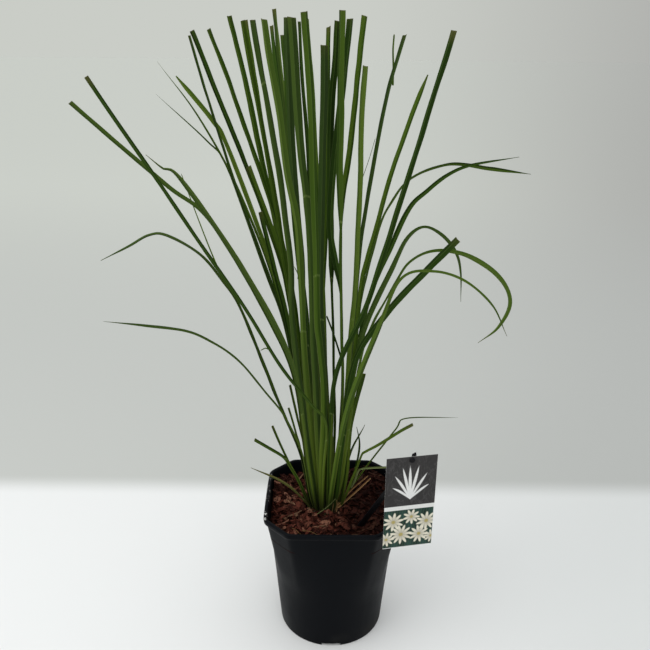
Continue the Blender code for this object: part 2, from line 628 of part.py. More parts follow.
def make_label():
    across, front = label_axes()
    top = Vector(LABEL_TOP_CENTRE)
    rings = []
    for side in (-0.5, 0.5):
        shift = front * (LABEL_THICK * side)
        ring = []
        for u, v in ((-0.5, 0.0), (0.5, 0.0), (0.5, 1.0), (-0.5, 1.0)):
            ring.append(top + shift + across * (LABEL_SIZE[0] * u) - UP * (LABEL_SIZE[1] * v))
        rings.append(ring)
    label = stacked_rings("plant_label", rings, smooth=False)
    paint(label, (0.090, 0.085, 0.085, 1.0), 0.5)
    punch = cylinder("label_punch", hole_centre(), front, LABEL_HOLE / 2, TOOL_SPARE, 20)
    combine(label, punch, "DIFFERENCE")


def stake_spine():
    """From the buried point up to the mulch, then behind the label's hole, then the barb's
    middle and end, which are told as steps across and up from the hole."""
    across, front = label_axes()
    behind = STAKE_THICK / 2 + LABEL_THICK / 2 + 1.5 * CLEARANCE
    at_hole = hole_centre() - front * behind
    at_mulch = Vector(STAKE_AT_MULCH)
    below_hole = at_hole - UP * NECK_DOWN - (front + across) * NECK_BACK
    way_up = (below_hole - at_mulch).normalized()
    buried = at_mulch - way_up * STAKE_BURIED
    barb = at_hole + across * BARB_MIDDLE[0] + UP * BARB_MIDDLE[1]
    tip = at_hole + across * BARB_END[0] + UP * BARB_END[1]
    return [buried, at_mulch, below_hole, at_hole, barb, tip]


def stake_rings(spine, widths, spare):
    across = label_axes()[0]
    rings = []
    for i, (centre, width) in enumerate(zip(spine, widths)):
        tangent = (spine[min(i + 1, len(spine) - 1)] - spine[max(i - 1, 0)]).normalized()
        side = (across - tangent * across.dot(tangent)).normalized()
        outward = side.cross(tangent)
        half = width / 2 + spare
        thin = STAKE_THICK / 2 + spare
        corners = ((-half, -thin), (half, -thin), (half, thin), (-half, thin))
        rings.append([centre + side * u + outward * v for u, v in corners])
    return rings


def make_stake_room():
    """The slot that the stake fills in the soil and in the mulch."""
    buried, at_mulch = stake_spine()[:2]
    way_up = (at_mulch - buried).normalized()
    ends = [buried - way_up * FILL_CLEARANCE, at_mulch + way_up * ROOM_ABOVE_MULCH]
    rings = stake_rings(ends, [STAKE_WIDTH, STAKE_WIDTH], CLEARANCE)
    return tool(stacked_rings("stake_room", rings, smooth=False))


def make_stake():
    spine = stake_spine()
    widths = [STAKE_POINT, STAKE_WIDTH, STAKE_NECK, STAKE_NECK, BARB_WIDTH, BARB_TIP]
    stake = stacked_rings("label_stake", stake_rings(spine, widths, 0.0), smooth=False)
    paint(stake, (0.012, 0.012, 0.013, 1.0), 0.4)
    front = label_axes()[1]
    reach = STAKE_THICK / 2 + LABEL_THICK + 2.5 * CLEARANCE + PEG_HEAD_THICK / 2
    peg_centre = spine[3] + front * (reach / 2)
    peg = cylinder("label_peg", peg_centre, front, PEG_DIAMETER / 2, reach, 12)
    combine(stake, peg, "UNION")
    head_from = LABEL_THICK / 2 + CLEARANCE
    head_centre = hole_centre() + front * (head_from + PEG_HEAD_THICK / 2)
    head = cylinder("label_peg_head", head_centre, front, PEG_HEAD / 2, PEG_HEAD_THICK, 16)
    combine(stake, head, "UNION")


clear_scene()
make_pot()
slot = make_stake_room()
make_soil(slot)
make_mulch(slot)
make_crown()
for leaf in LEAVES:
    make_leaf(*leaf)
make_label()
make_stake()
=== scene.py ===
import math

import bpy
import numpy as np
from mathutils import Matrix, Vector, noise
from mathutils.bvhtree import BVHTree


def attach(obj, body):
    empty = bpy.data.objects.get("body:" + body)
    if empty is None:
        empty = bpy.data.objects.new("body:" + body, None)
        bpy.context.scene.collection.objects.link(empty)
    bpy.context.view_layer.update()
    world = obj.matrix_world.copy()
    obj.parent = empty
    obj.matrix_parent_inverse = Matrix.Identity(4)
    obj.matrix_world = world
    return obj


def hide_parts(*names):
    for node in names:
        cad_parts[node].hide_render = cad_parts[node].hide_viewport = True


# Potted ornamental grass: the visible pieces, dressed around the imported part. Sizes are in
# millimetres until a mesh is made, +Z is up, and -Y is the side that the photograph shows.
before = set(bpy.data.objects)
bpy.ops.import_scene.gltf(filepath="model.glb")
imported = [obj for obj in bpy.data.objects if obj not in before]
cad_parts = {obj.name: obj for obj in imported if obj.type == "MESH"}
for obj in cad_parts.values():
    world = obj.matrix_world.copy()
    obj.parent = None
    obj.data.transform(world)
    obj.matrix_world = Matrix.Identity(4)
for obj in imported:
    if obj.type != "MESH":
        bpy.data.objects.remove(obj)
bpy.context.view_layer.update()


# ---- Nursery pot ----
# One injection-moulded piece of black plastic: a square rim with chamfered corners and an
# overhanging lip, thin walls that turn round towards the base, a raised floor with drain holes,
# and a ring foot that is notched on four sides.
MM = 0.001
RIM_WIDTH = 175.0
RIM_CHAMFER = 31.5
LIP_OVERHANG = 3.6
LIP_LOW = 182.0
BASE_WIDTH = 139.0
WALL = 1.5
FOOT_WIDTH = 4.5
FOOT_HEIGHT = 5.0
FLOOR_TOP = 7.0
ROUND_BELOW = 75.0
ROUND_BLEND = 15.0
ROUND_SWELL = 0.02
CORNER_SHARPNESS = 55.0
CORNER_STEPS = (0.0, 0.4, 0.9, 1.5, 2.2, 3.2)
NOTCH_WIDTH = 25.0
NOTCH_HEIGHT = 4.5
DRAIN_HOLES = 6
DRAIN_DIAMETER = 9.0
DRAIN_CIRCLE = 44.0
DRAIN_DEPTH = 9.5
DRAIN_SIDES = 28
POT_CREASE = 38.0


def wall_angles():
    """Round the wall every 3 degrees, and closer where the chamfers round into the flats."""
    corner = math.degrees(math.atan2(RIM_WIDTH / 2 - RIM_CHAMFER, RIM_WIDTH / 2))
    quarter = {float(step) for step in range(0, 90, 3)}
    for middle in (corner, 90.0 - corner):
        quarter |= {middle + side * step for step in CORNER_STEPS for side in (-1, 1)}
    return [math.radians(90.0 * turn + angle) for turn in range(4) for angle in sorted(quarter)]


def octagon_radius(angle, half_width):
    """Distance from the axis to the chamfered square, its corners slightly rounded."""
    chamfer = half_width * (2.0 - RIM_CHAMFER / (RIM_WIDTH / 2)) / math.sqrt(2.0)
    total = 0.0
    for k in range(8):
        reach = math.cos(angle - math.radians(45.0 * k))
        if reach > 0.0:
            total += (reach / (half_width if k % 2 == 0 else chamfer)) ** CORNER_SHARPNESS
    return total ** (-1.0 / CORNER_SHARPNESS)


def wall_radius(angle, height):
    """Outer radius of the wall: a chamfered square at the rim, round below."""
    rise = height / LIP_LOW
    half_width = BASE_WIDTH / 2 + (RIM_WIDTH / 2 - LIP_OVERHANG - BASE_WIDTH / 2) * rise
    above_round = height - ROUND_BELOW
    if abs(above_round) < ROUND_BLEND:
        above_round = (above_round + ROUND_BLEND) ** 2 / (4.0 * ROUND_BLEND)
    squareness = max(0.0, min(1.0, above_round / (LIP_LOW - ROUND_BELOW)))
    round_radius = half_width * (1.0 + ROUND_SWELL * rise)
    return round_radius + (octagon_radius(angle, half_width) - round_radius) * squareness


def wall_ring(height, inset):
    """A ring of points round the pot at a height, set in from the wall's outer face."""
    ring = []
    for angle in wall_angles():
        radius = wall_radius(angle, height) - inset
        ring.append((radius * math.cos(angle), radius * math.sin(angle), height))
    return ring


def add_mesh(name, points, faces, crease=35.0):
    """Makes a mesh object from points in millimetres. Edges steeper than crease stay crisp."""
    mesh = bpy.data.meshes.new(name)
    mesh.from_pydata((np.asarray(points, float) * MM).tolist(), [], faces)
    mesh.validate()
    mesh.shade_smooth()
    mesh.set_sharp_from_angle(angle=math.radians(crease))
    piece = bpy.data.objects.new(name, mesh)
    bpy.context.scene.collection.objects.link(piece)
    return piece


def stack(rings, closed_ends=True):
    """Points and faces of equal rings laid one on another, with a cap at each end."""
    count = len(rings[0])
    faces = []
    for level in range(len(rings) - 1):
        low, high = level * count, (level + 1) * count
        for i in range(count):
            j = (i + 1) % count
            faces.append((low + i, low + j, high + j, high + i))
    if closed_ends:
        faces.append(tuple(range(count))[::-1])
        faces.append(tuple((len(rings) - 1) * count + i for i in range(count)))
    return [point for ring in rings for point in ring], faces


def cut_out(piece, outline, low, high):
    """Cuts an upright block, whose outline is a list of (x, y), out of a mesh for good."""
    cutter = add_mesh("cutter", *stack([[(x, y, z) for x, y in outline] for z in (low, high)]))
    change = piece.modifiers.new("cut", "BOOLEAN")
    change.operation = "DIFFERENCE"
    change.solver = "EXACT"
    change.object = cutter
    bpy.context.view_layer.update()
    seen = piece.evaluated_get(bpy.context.evaluated_depsgraph_get())
    shape = bpy.data.meshes.new_from_object(seen)
    piece.modifiers.clear()
    piece.data = shape
    bpy.data.objects.remove(cutter)


# The wall's profile as (height, inset), from the foot's inside edge over the lip to the floor.
foot = [(FOOT_HEIGHT, FOOT_WIDTH), (1.2, FOOT_WIDTH), (0.35, 4.2), (0.0, 3.6), (0.0, 1.6), (0.3, 0.7)]
foot += [(1.0, 0.15), (2.0, 0.0)]
outside = [(float(height), 0.0) for height in range(6, 180, 5)] + [(180.5, 0.0), (181.8, -0.25)]
lip = [(182.1, -1.2), (182.3, -2.4), (182.8, -3.1), (183.8, -3.5), (185.0, -LIP_OVERHANG)]
lip += [(187.6, -LIP_OVERHANG), (188.8, -3.35), (189.6, -2.6), (190.0, -1.5), (190.0, -0.5)]
lip += [(189.7, 0.4), (189.0, 1.1), (188.0, WALL)]
inside = [(float(height), WALL) for height in range(183, 11, -9)] + [(9.0, WALL), (7.6, 2.0)]
inside += [(FLOOR_TOP, 3.4)]
pot = add_mesh("nursery_pot", *stack([wall_ring(*level) for level in foot + outside + lip + inside]))

# The foot's notches, cut right across it both ways, and then the drain holes.
past_foot = BASE_WIDTH * 1.4
for wide, deep in ((NOTCH_WIDTH, past_foot), (past_foot, NOTCH_WIDTH)):
    corners = [(wide * x / 2, deep * y / 2) for x, y in ((-1, -1), (1, -1), (1, 1), (-1, 1))]
    cut_out(pot, corners, -NOTCH_HEIGHT, NOTCH_HEIGHT)
for hole in range(DRAIN_HOLES):
    turn = math.tau * (hole + 0.5) / DRAIN_HOLES
    spots = [math.tau * i / DRAIN_SIDES for i in range(DRAIN_SIDES)]
    circle = [(DRAIN_CIRCLE * math.cos(turn) + DRAIN_DIAMETER / 2 * math.cos(a),
               DRAIN_CIRCLE * math.sin(turn) + DRAIN_DIAMETER / 2 * math.sin(a)) for a in spots]
    cut_out(pot, circle, -DRAIN_DEPTH, DRAIN_DEPTH)
pot.data.shade_smooth()
pot.data.set_sharp_from_angle(angle=math.radians(POT_CREASE))


class Signal:
    """An output of a material's nodes. +, - and * on signals add Math nodes."""

    def __init__(self, socket):
        self.socket = socket
        self.tree = socket.id_data

    def __add__(self, other):
        return maths("ADD", self, other)

    def __sub__(self, other):
        return maths("SUBTRACT", self, other)

    def __mul__(self, other):
        return maths("MULTIPLY", self, other)


def feed(socket, value):
    """Gives a socket its number or colour, or links the signal that drives it."""
    if isinstance(value, Signal):
        value.tree.links.new(value.socket, socket)
    elif socket.type == "RGBA":
        socket.default_value = (*value, 1.0)
    else:
        socket.default_value = value


def add_node(tree, kind, inputs, output=0, **settings):
    """A node with its settings and what goes into it. Returns one of its outputs."""
    made = tree.nodes.new("ShaderNode" + kind)
    for setting, value in settings.items():
        setattr(made, setting, value)
    for socket, value in inputs.items():
        feed(made.inputs[socket], value)
    return Signal(made.outputs[output])


def maths(operation, a, b=0.0):
    """A Math node on signals or numbers, at least one of them a signal."""
    tree = a.tree if isinstance(a, Signal) else b.tree
    return add_node(tree, "Math", {0: a, 1: b}, operation=operation)


def split(vector):
    """The three numbers of a vector signal."""
    made = add_node(vector.tree, "SeparateXYZ", {0: vector})
    return [Signal(socket) for socket in made.socket.node.outputs]


def place_of(tree, kind="Object"):
    """Where a point is on the piece, in metres."""
    return add_node(tree, "TexCoord", {}, kind)


def stretched(where, *scale):
    """Coordinates stretched by a scale on each axis."""
    return add_node(where.tree, "Mapping", {"Vector": where, "Scale": scale})


def grain(where, scale, detail=3.0, roughness=0.55, distortion=0.0):
    """Noise from 0 to 1 at a scale in cycles per unit."""
    kind = {"Scale": scale, "Detail": detail, "Roughness": roughness, "Distortion": distortion}
    return add_node(where.tree, "TexNoise", {"Vector": where, **kind})


def between(value, low, high, from_value=0.0, to_value=1.0):
    """Smoothly from from_value to to_value while value goes from low to high."""
    ends = {"From Min": low, "From Max": high, "To Min": from_value, "To Max": to_value}
    return add_node(value.tree, "MapRange", {"Value": value, **ends}, interpolation_type="SMOOTHSTEP")


def tinted(share, under, over):
    """The colour over laid on the colour under, by a share from 0 to 1."""
    return add_node(share.tree, "Mix", {0: share, 6: under, 7: over}, 2, data_type="RGBA")


def finish(name):
    """A new material, its nodes and its Principled shader."""
    made = bpy.data.materials.new(name)
    made.use_nodes = True
    return made, made.node_tree, made.node_tree.nodes["Principled BSDF"]


def coat(shader, colour, roughness, gloss, height, depth, strength):
    """Colour, roughness, gloss and relief of a surface. The relief's depth is in millimetres."""
    feed(shader.inputs["Base Color"], colour)
    feed(shader.inputs["Roughness"], roughness)
    feed(shader.inputs["Specular IOR Level"], gloss)
    bump = {"Height": height, "Distance": depth * MM, "Strength": strength}
    feed(shader.inputs["Normal"], add_node(height.tree, "Bump", bump))


def dress(piece, made):
    """Gives a piece its one material."""
    piece.data.materials.clear()
    piece.data.materials.append(made)


plastic, tree, shader = finish("black_pot_plastic")
where = place_of(tree)
cloudy = grain(where, 22.0, 4.0)
fine = grain(where, 900.0, 2.0)
flow = grain(stretched(where, 160.0, 160.0, 6.0), 1.0, 2.0)
x, y, z = split(where)
colour = tinted(cloudy, (0.0014, 0.0019, 0.0030), (0.0028, 0.0035, 0.0050))
dust = between(z, 0.000, 0.030, 0.35, 0.0) * between(cloudy, 0.45, 0.75)
colour = tinted(dust, colour, (0.050, 0.046, 0.040))
# Pale specks on the outer edge of the lip, on the left.
pale_specks = between(grain(where, 420.0, 3.0, 0.6), 0.54, 0.60) * between(grain(where, 60.0, 2.0), 0.44, 0.54)
on_lip = between(z, 0.1845, 0.1865) * between(x, -0.080, -0.086)
colour = tinted(pale_specks * on_lip, colour, (0.55, 0.55, 0.52))
rough = between(cloudy, 0.3, 0.7, 0.34, 0.44) + flow * 0.08 + dust * 0.4
coat(shader, colour, rough, 0.05, fine + flow * 1.5, 0.02, 0.5)
dress(pot, plastic)
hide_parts("pot")
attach(pot, "root")


# ---- Potting soil and root crown ----
# The soil is peat with a little grit, pressed to the pot's shape, and shows only through the
# drain holes. The crown is the plant's fibrous base, where every leaf is rooted. Both keep
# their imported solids.
peat, tree, shader = finish("peat_soil")
where = place_of(tree)
crumbs = grain(where, 260.0, 6.0, 0.7)
grit = between(grain(where, 700.0, 2.0), 0.66, 0.72)
colour = tinted(between(crumbs, 0.3, 0.75), (0.006, 0.004, 0.003), (0.034, 0.021, 0.013))
coat(shader, tinted(grit, colour, (0.20, 0.17, 0.13)), 0.95, 0.5, crumbs, 1.2, 0.9)
dress(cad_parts["potting_soil"], peat)

fibre, tree, shader = finish("crown_fibre")
where = place_of(tree)
strands = grain(stretched(where, 900.0, 900.0, 60.0), 1.0, 4.0, 0.6)
patches = grain(where, 90.0, 3.0)
colour = tinted(between(strands, 0.35, 0.65), (0.016, 0.011, 0.005), (0.110, 0.082, 0.038))
colour = tinted(between(patches, 0.5, 0.7), colour, (0.050, 0.070, 0.018))
coat(shader, colour, 0.85, 0.5, strands, 0.8, 0.8)
dress(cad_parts["root_crown"], fibre)


# ---- Grass leaves ----
# Each grows from the crown as a sheath, curled round its neighbours, up to a collar, and goes
# on as a folded strap with a midrib and fine veins. Most were sheared off square at one height,
# and a few are whole and taper to a point. They stand in rows, and a row is a leaning plane.
ROOT_HEIGHT = 165.0
FIRST_ROW_Y = -15.0
ROW_STEP = 5.0
ROW_LEANS = (-0.242, -0.150, -0.105, -0.063, -0.028, 0.008, 0.045, 0.087, 0.133, 0.183)
CROWN_CENTRE = (-10.0, 8.0)
GATHER = 0.4
GATHER_HEIGHT = 35.0
LOOK_UP = 40.0
SHEATH_WIDER = 1.05
SHEATH_TAPER = 0.12
BLADE_NECK = 0.84
FULL_WIDTH_BY = 4.0
TIP_TAPER = 4.0
TIP_LEFT = 0.05
POINT_LENGTH = {"point": 50.0, "snip": 14.0}
STALK_WIDTH = 0.45
STATION = 3.5
SAMPLES_ACROSS = (-1.0, -0.93, -0.75, -0.52, -0.28, -0.09, 0.0, 0.09, 0.28, 0.52, 0.75, 0.93, 1.0)
FOLD = 0.20
CREASE = 0.05
SHEATH_CURL = 0.55
COLLAR_ZONE = 9.0
RIB_THICK = 0.75
RIB_SHARE = 0.16
MARGIN_THICK = 0.24
THICKEST_BY_HALF = 0.7
FULL_RIPPLE_HALF = 3.0
SHEATH_THICK = 0.9
CUT_SKEW = 0.28
CUT_FRAY = 0.10
LOOSE_FROM = 120.0
CURVE_STEPS = 24
TURN_SOFTENING = 6
WIDTH_SOFTENING = 3
LEAF_CREASE = 50.0
# How a leaf wanders as it grows: size, and the shortest and longest wave in millimetres.
RIPPLE = (0.24, 26.0, 70.0)
TWIST_DEGREES = (4.0, 120.0, 300.0)
SWAY = (0.45, 90.0, 210.0)
WIDTH_CHANGE = (0.03, 40.0, 140.0)

# Each leaf: node, look, row, blade width, collar height, end, turns from the root to the
# tip in degrees (0 shows the flat of the leaf to the front), drift of the tip to the back,
# and its route as (x, z) points from the crown up.
LEAVES = (
    ("leaf_01_crossing_dark", "dark", 1, 3.8, 300, "cut", (18, 30), 0,
     (-14, 165), (-12, 240), (-10, 324), (-27, 354), (-62, 411), (-106, 501), (-165, 610),
     (-222, 717)),
    ("leaf_02_front_right_curl", "light", 1, 6.5, 290, "tip",
     (-10, -10, -5, 0, 0, 0, 25, 52, 54, 45, 10), 20,
     (-3, 165), (1, 230), (15, 345), (46, 455), (67, 517), (100, 526), (135, 514), (170, 482),
     (192, 443)),
    ("leaf_03_left_pointed", "light", 2, 4.9, 330, "point", (25, 25), -25,
     (-27, 165), (-31, 240), (-49, 400), (-99, 521), (-154, 619), (-172, 632), (-186, 645)),
    ("leaf_04_tall_front", "green", 2, 8.0, 512, "cut", (10, 38), 6,
     (-16, 165), (-13, 300), (-13, 372), (-17, 424), (-21, 469), (-25, 639), (-33, 773)),
    ("leaf_05_tall_right_crossing", "dark", 2, 6.2, 330, "cut", (-15, -45), -14,
     (-5, 165), (-4, 300), (1, 385), (35, 485), (64, 602), (100.5, 758)),
    ("leaf_06_right_thick_cut", "dark", 2, 7.5, 300, "cut", (-30, -40), -18,
     (6, 165), (9, 251), (20, 394), (54, 469), (94, 523), (123.5, 560)),
    ("leaf_07_low_left_straw", "fading", 3, 3.5, 185, "tip", (35, 50), 0,
     (-39, 165), (-45, 180), (-60, 203), (-78, 219), (-111, 237)),
    ("leaf_08_left_low_droop", "green", 3, 3.3, 260, "point",
     (40, 50, 60, 70, 75, 75, 78, 80, 78, 45, 20), -130,
     (-32, 165), (-38, 255), (-58, 326), (-81, 372), (-108, 424), (-133, 454), (-155, 471),
     (-191, 485), (-223, 497)),
    ("leaf_09_high_collar", "green", 3, 7.5, 710, "cut", (12, 45), 10,
     (-24, 165), (-35, 300), (-45, 393), (-50, 455), (-51, 527), (-66, 650), (-84, 767)),
    ("leaf_10_broad_collared", "green", 3, 8.5, 597, "cut", (-5, -12), -6,
     (-14, 165), (-22, 341), (-29, 536), (-33, 592), (-39, 648), (-47, 769)),
    ("leaf_11_tall_straight", "green", 3, 8.0, 568, "stalk", (8, -40), 5,
     (1, 165), (10, 267), (10, 366), (8, 415), (5, 499), (3.5, 568), (1, 637),
     (0.5, 680), (0.5, 776)),
    ("leaf_12_right_long_curl", "light", 3, 5.4, 300, "point",
     (-15, 10, 30, 45, 60, 66, 64, 45, 0, 60, 20), -30,
     (9, 165), (18, 283), (31, 404), (44, 451), (67, 504), (81, 527), (104, 539), (138, 536),
     (173, 515), (190, 485), (181, 454), (160, 435)),
    ("leaf_13_low_right_cut", "dark", 3, 4.0, 259, "cut", (-25, -28, -35, -65, -65, -35, -25), 0,
     (20, 165), (26, 209), (32, 235), (38, 259), (43, 264.5), (60, 276), (85, 297), (99, 307)),
    ("leaf_14_stub_left_low", "green", 4, 4.2, 247, "cut", (25, 35), 0,
     (-40, 165), (-48, 208), (-57, 231), (-64.5, 247), (-71, 253.5), (-83, 262), (-102, 275.5)),
    ("leaf_15_long_left_cut", "green", 4, 4.6, 340, "cut", (32, 35), -40,
     (-31, 165), (-38, 270), (-49, 364), (-71, 432), (-134, 562), (-181, 607), (-265, 690)),
    ("leaf_16_tall_light", "light", 4, 8.0, 430, "cut", (14, -35), -9,
     (-19, 165), (-35, 377), (-38, 430), (-40, 490), (-43, 553), (-54, 613), (-64, 692),
     (-76, 768)),
    ("leaf_17_front_short_cut", "dark", 4, 8.0, 444, "cut", (-5, 12), 9,
     (-6, 165), (-3, 261), (-9.5, 335), (-16.5, 440), (-18, 530), (-15.5, 677), (-15.5, 745)),
    ("leaf_18_right_pale_cut", "light", 4, 6.4, 447, "cut", (-10, -38), -12,
     (7, 165), (15, 336), (18.5, 430), (23, 531), (23, 644), (25, 726)),
    ("leaf_19_right_short_cut", "dark", 4, 6.0, 290, "cut", (-20, -25), 0,
     (18, 165), (20, 227), (22, 305), (35.5, 373)),
    ("leaf_20_left_high_droop", "green", 5, 6.0, 260, "point",
     (55, 68, 70, 68, 60, 62, 75, 85, 90, 80, 45), -60,
     (-38, 165), (-41, 238), (-64, 310), (-107, 448), (-130, 496), (-152, 529), (-185, 551),
     (-203, 552), (-224, 541), (-254, 527)),
    ("leaf_21_tall_light_left", "light", 5, 6.5, 400, "cut", (18, 48), 9,
     (-28, 165), (-39, 336), (-62, 524), (-70, 581), (-80, 643), (-92, 710), (-101, 768)),
    ("leaf_22_tall_broad_dark", "dark", 5, 8.5, 406, "cut", (0, -30), -6,
     (-16, 165), (-28, 329), (-37, 425), (-42, 528), (-49, 616), (-52, 680), (-54, 771)),
    ("leaf_23_tall_right_dark", "dark", 5, 8.0, 478, "stalk", (-8, 30), 13,
     (2, 165), (10.5, 330), (8.5, 415), (6, 475), (-1, 512), (-6, 540), (-6.5, 575), (-3.7, 624),
     (1, 668), (7.5, 730), (12, 771)),
    ("leaf_24_right_bowed", "green", 5, 6.5, 330, "tip",
     (0, 0, 0, 0, -5, -10, -10, 10, 50, -15, 30), 20,
     (10, 165), (17, 300), (33, 416), (68, 504), (83, 537), (101, 550), (123, 540), (141, 519),
     (149, 494), (153, 456)),
    ("leaf_25_stub_right_thin", "green", 5, 3.0, 230, "tip", (-30, -30), 0,
     (21, 165), (31, 218), (35, 262), (30, 291)),
    ("leaf_26_stub_left", "dark", 6, 3.2, 225, "cut", (25, 30), 0,
     (-40, 165), (-47, 197), (-58, 225), (-80, 286)),
    ("leaf_27_left_inner_short", "dark", 6, 6.0, 330, "cut", (18, 40), -11,
     (-31, 165), (-44, 339), (-67, 472), (-88, 567)),
    ("leaf_28_tall_left_inner", "green", 6, 6.0, 350, "cut", (18, 50), 14,
     (-22, 165), (-40, 364), (-62, 519), (-114.5, 687), (-141.5, 760)),
    ("leaf_29_tall_middle_narrow", "dark", 6, 5.5, 477, "cut", (12, -50), 4,
     (-12, 165), (-33, 419), (-48, 580), (-53, 637), (-60, 755)),
    ("leaf_30_tall_right_inner", "green", 6, 7.5, 556, "stalk", (-12, -42), -10,
     (4, 165), (11, 348), (8, 425), (5, 515), (5.5, 560), (8, 591), (14.5, 636), (20, 705),
     (27, 774)),
    ("leaf_31_right_pointed", "green", 6, 6.0, 380, "snip", (-18, -45), -20,
     (12, 165), (21, 311), (30, 463), (37, 511), (58, 600), (74, 656), (94, 717)),
    ("leaf_32_stub_right_bent", "green", 6, 3.0, 225, "tip", (-20, -30), 0,
     (21, 165), (23, 241), (41, 289)),
    ("leaf_33_stub_left_upright", "dark", 7, 3.2, 250, "cut", (20, 25), 0,
     (-36, 165), (-38.5, 245), (-48, 295), (-56.5, 339)),
    ("leaf_34_left_thin_tall", "dark", 7, 4.0, 380, "cut", (38, 55), 13,
     (-31, 165), (-34, 240), (-42, 316), (-58, 406), (-93, 514), (-133, 632), (-167, 754)),
    ("leaf_35_left_inner_cut", "green", 7, 7.5, 380, "cut", (18, 38), -7,
     (-22, 165), (-29, 260), (-40, 340), (-63, 491), (-103, 614)),
    ("leaf_36_tallest", "light", 7, 6.0, 607, "cut", (6, -42), 7,
     (-11, 165), (-28, 328), (-45, 526), (-62, 702), (-71, 782)),
    ("leaf_37_tall_back_dark", "dark", 7, 8.0, 482, "stalk", (-8, 25), -8,
     (1, 165), (2, 290), (-1, 382), (-4.7, 481), (-6.5, 546), (-9, 630), (-7, 690), (-3.5, 730),
     (-2, 770)),
    ("leaf_38_right_high_arch", "dark", 7, 6.5, 400, "tip",
     (-25, -25, -25, -25, -28, -38, -30, -10, 10, 20, 20), 60,
     (10, 165), (20, 317), (42, 444), (69.5, 516), (90, 560.5), (110, 580), (137, 600), (167, 611),
     (226, 619)),
    ("leaf_39_low_right_thin", "green", 7, 2.5, 220, "tip", (-25, 40), 30,
     (20, 165), (52, 225), (84, 273), (98, 287), (171, 280)),
    ("leaf_40_stub_left_thin", "green", 8, 2.8, 230, "cut", (20, 25), 0,
     (-38, 165), (-44.5, 240), (-50, 264), (-59.5, 301.5)),
    ("leaf_41_left_torn_olive", "light", 8, 5.5, 380, "snip", (20, 30), -12,
     (-30, 165), (-36, 240), (-50, 362), (-65, 448), (-81, 499), (-128, 631), (-144, 661.5),
     (-185, 711)),
    ("leaf_42_tall_left", "dark", 8, 6.5, 370, "cut", (20, 48), -9,
     (-21, 165), (-42, 354), (-56, 441), (-72, 511), (-119, 639), (-166, 759)),
    ("leaf_43_tall_back_middle", "green", 8, 6.5, 400, "cut", (8, -44), 11,
     (-6, 165), (-15, 459), (-29.5, 697), (-35, 773)),
    ("leaf_44_right_far_arch", "green", 8, 5.5, 400, "point",
     (-30, -10, 10, 35, 55, 62, 60, 55, 40, 15, 0), 108,
     (9, 165), (28, 403), (52, 517), (70, 560), (97, 590), (147, 605), (203, 597),
     (262, 587)),
    ("leaf_45_left_thin_high", "green", 9, 3.4, 380, "tip", (25, 30), -20,
     (-29, 165), (-61, 402), (-112, 561), (-163, 661), (-210, 726)),
    ("leaf_46_tall_back_left", "green", 9, 7.5, 360, "cut", (20, 44), 14,
     (-20, 165), (-43, 347), (-75, 529), (-110, 693), (-130, 777)),
    ("leaf_47_back_narrow", "dark", 9, 5.5, 420, "cut", (10, 50), -8,
     (-10, 165), (-24, 389), (-34.5, 603), (-47, 771)),
    ("leaf_48_back_narrow_right", "green", 9, 6.5, 469, "cut", (0, -40), 5,
     (0, 165), (-6, 250), (-15, 350), (-16.5, 420), (-14.6, 467), (-10.7, 560), (-11.5, 640),
     (-11, 766)),
    ("leaf_49_left_thin_low", "green", 10, 3.2, 360, "tip", (25, 30), 22,
     (-24, 165), (-61, 381), (-92, 471), (-139, 597), (-166, 631), (-230, 686)),
    ("leaf_50_back_left_inner", "light", 10, 6.5, 380, "cut", (18, 46), -11,
     (-15, 165), (-35, 301), (-67, 486), (-78.5, 560), (-89, 628), (-103, 712), (-112, 773)),
    ("leaf_51_back_middle", "dark", 10, 6.5, 400, "cut", (10, -42), 12,
     (-6, 165), (-33, 356), (-58, 585), (-81, 768)),
    ("leaf_52_back_right_tall", "dark", 10, 6.0, 380, "cut", (-15, -48), -15,
     (5, 165), (23, 357), (32, 501), (50.5, 626), (63, 695), (81, 758)),
)


def distance_along(points):
    """How far each point of a line lies along it."""
    steps = np.linalg.norm(np.diff(points, axis=0), axis=1)
    return np.concatenate([[0.0], np.cumsum(steps)])


def even_curve(route, step):
    """A smooth curve through the route's points, cut into even steps."""
    last = len(route) - 1
    fine = []
    for i in range(last):
        b, c = route[i], route[i + 1]
        a = route[i - 1] if i > 0 else b * 2.0 - c
        d = route[i + 2] if i + 2 <= last else c * 2.0 - b
        for t in np.linspace(0.0, 1.0, CURVE_STEPS, endpoint=False):
            fine.append(0.5 * (2 * b + (c - a) * t + (2 * a - 5 * b + 4 * c - d) * t ** 2
                               + (3 * b - a - 3 * c + d) * t ** 3))
    fine = np.array(fine + [route[-1]])
    reach = distance_along(fine)
    along = np.linspace(0.0, reach[-1], max(6, int(reach[-1] / step)) + 1)
    return np.stack([np.interp(along, reach, fine[:, k]) for k in range(3)], 1), along


def row_points(row, drift, route):
    """Puts a leaf's (x, z) route on its row's leaning plane and adds the tip's drift."""
    route = np.array(route, float)
    reach = distance_along(route)
    y = FIRST_ROW_Y + ROW_STEP * (row - 1) + ROW_LEANS[row - 1] * (route[:, 1] - ROOT_HEIGHT)
    y += drift * (reach / reach[-1]) ** 2
    return np.stack([route[:, 0], y, route[:, 1]], 1)


def wander(rng, along, size, shortest, longest):
    """A slow, even wandering to either side, as growth gives."""
    total = np.zeros(len(along))
    for _ in range(3):
        wave = rng.uniform(shortest, longest)
        total += np.sin(along * math.tau / wave + rng.uniform(0.0, math.tau))
    return total * size / 2.0


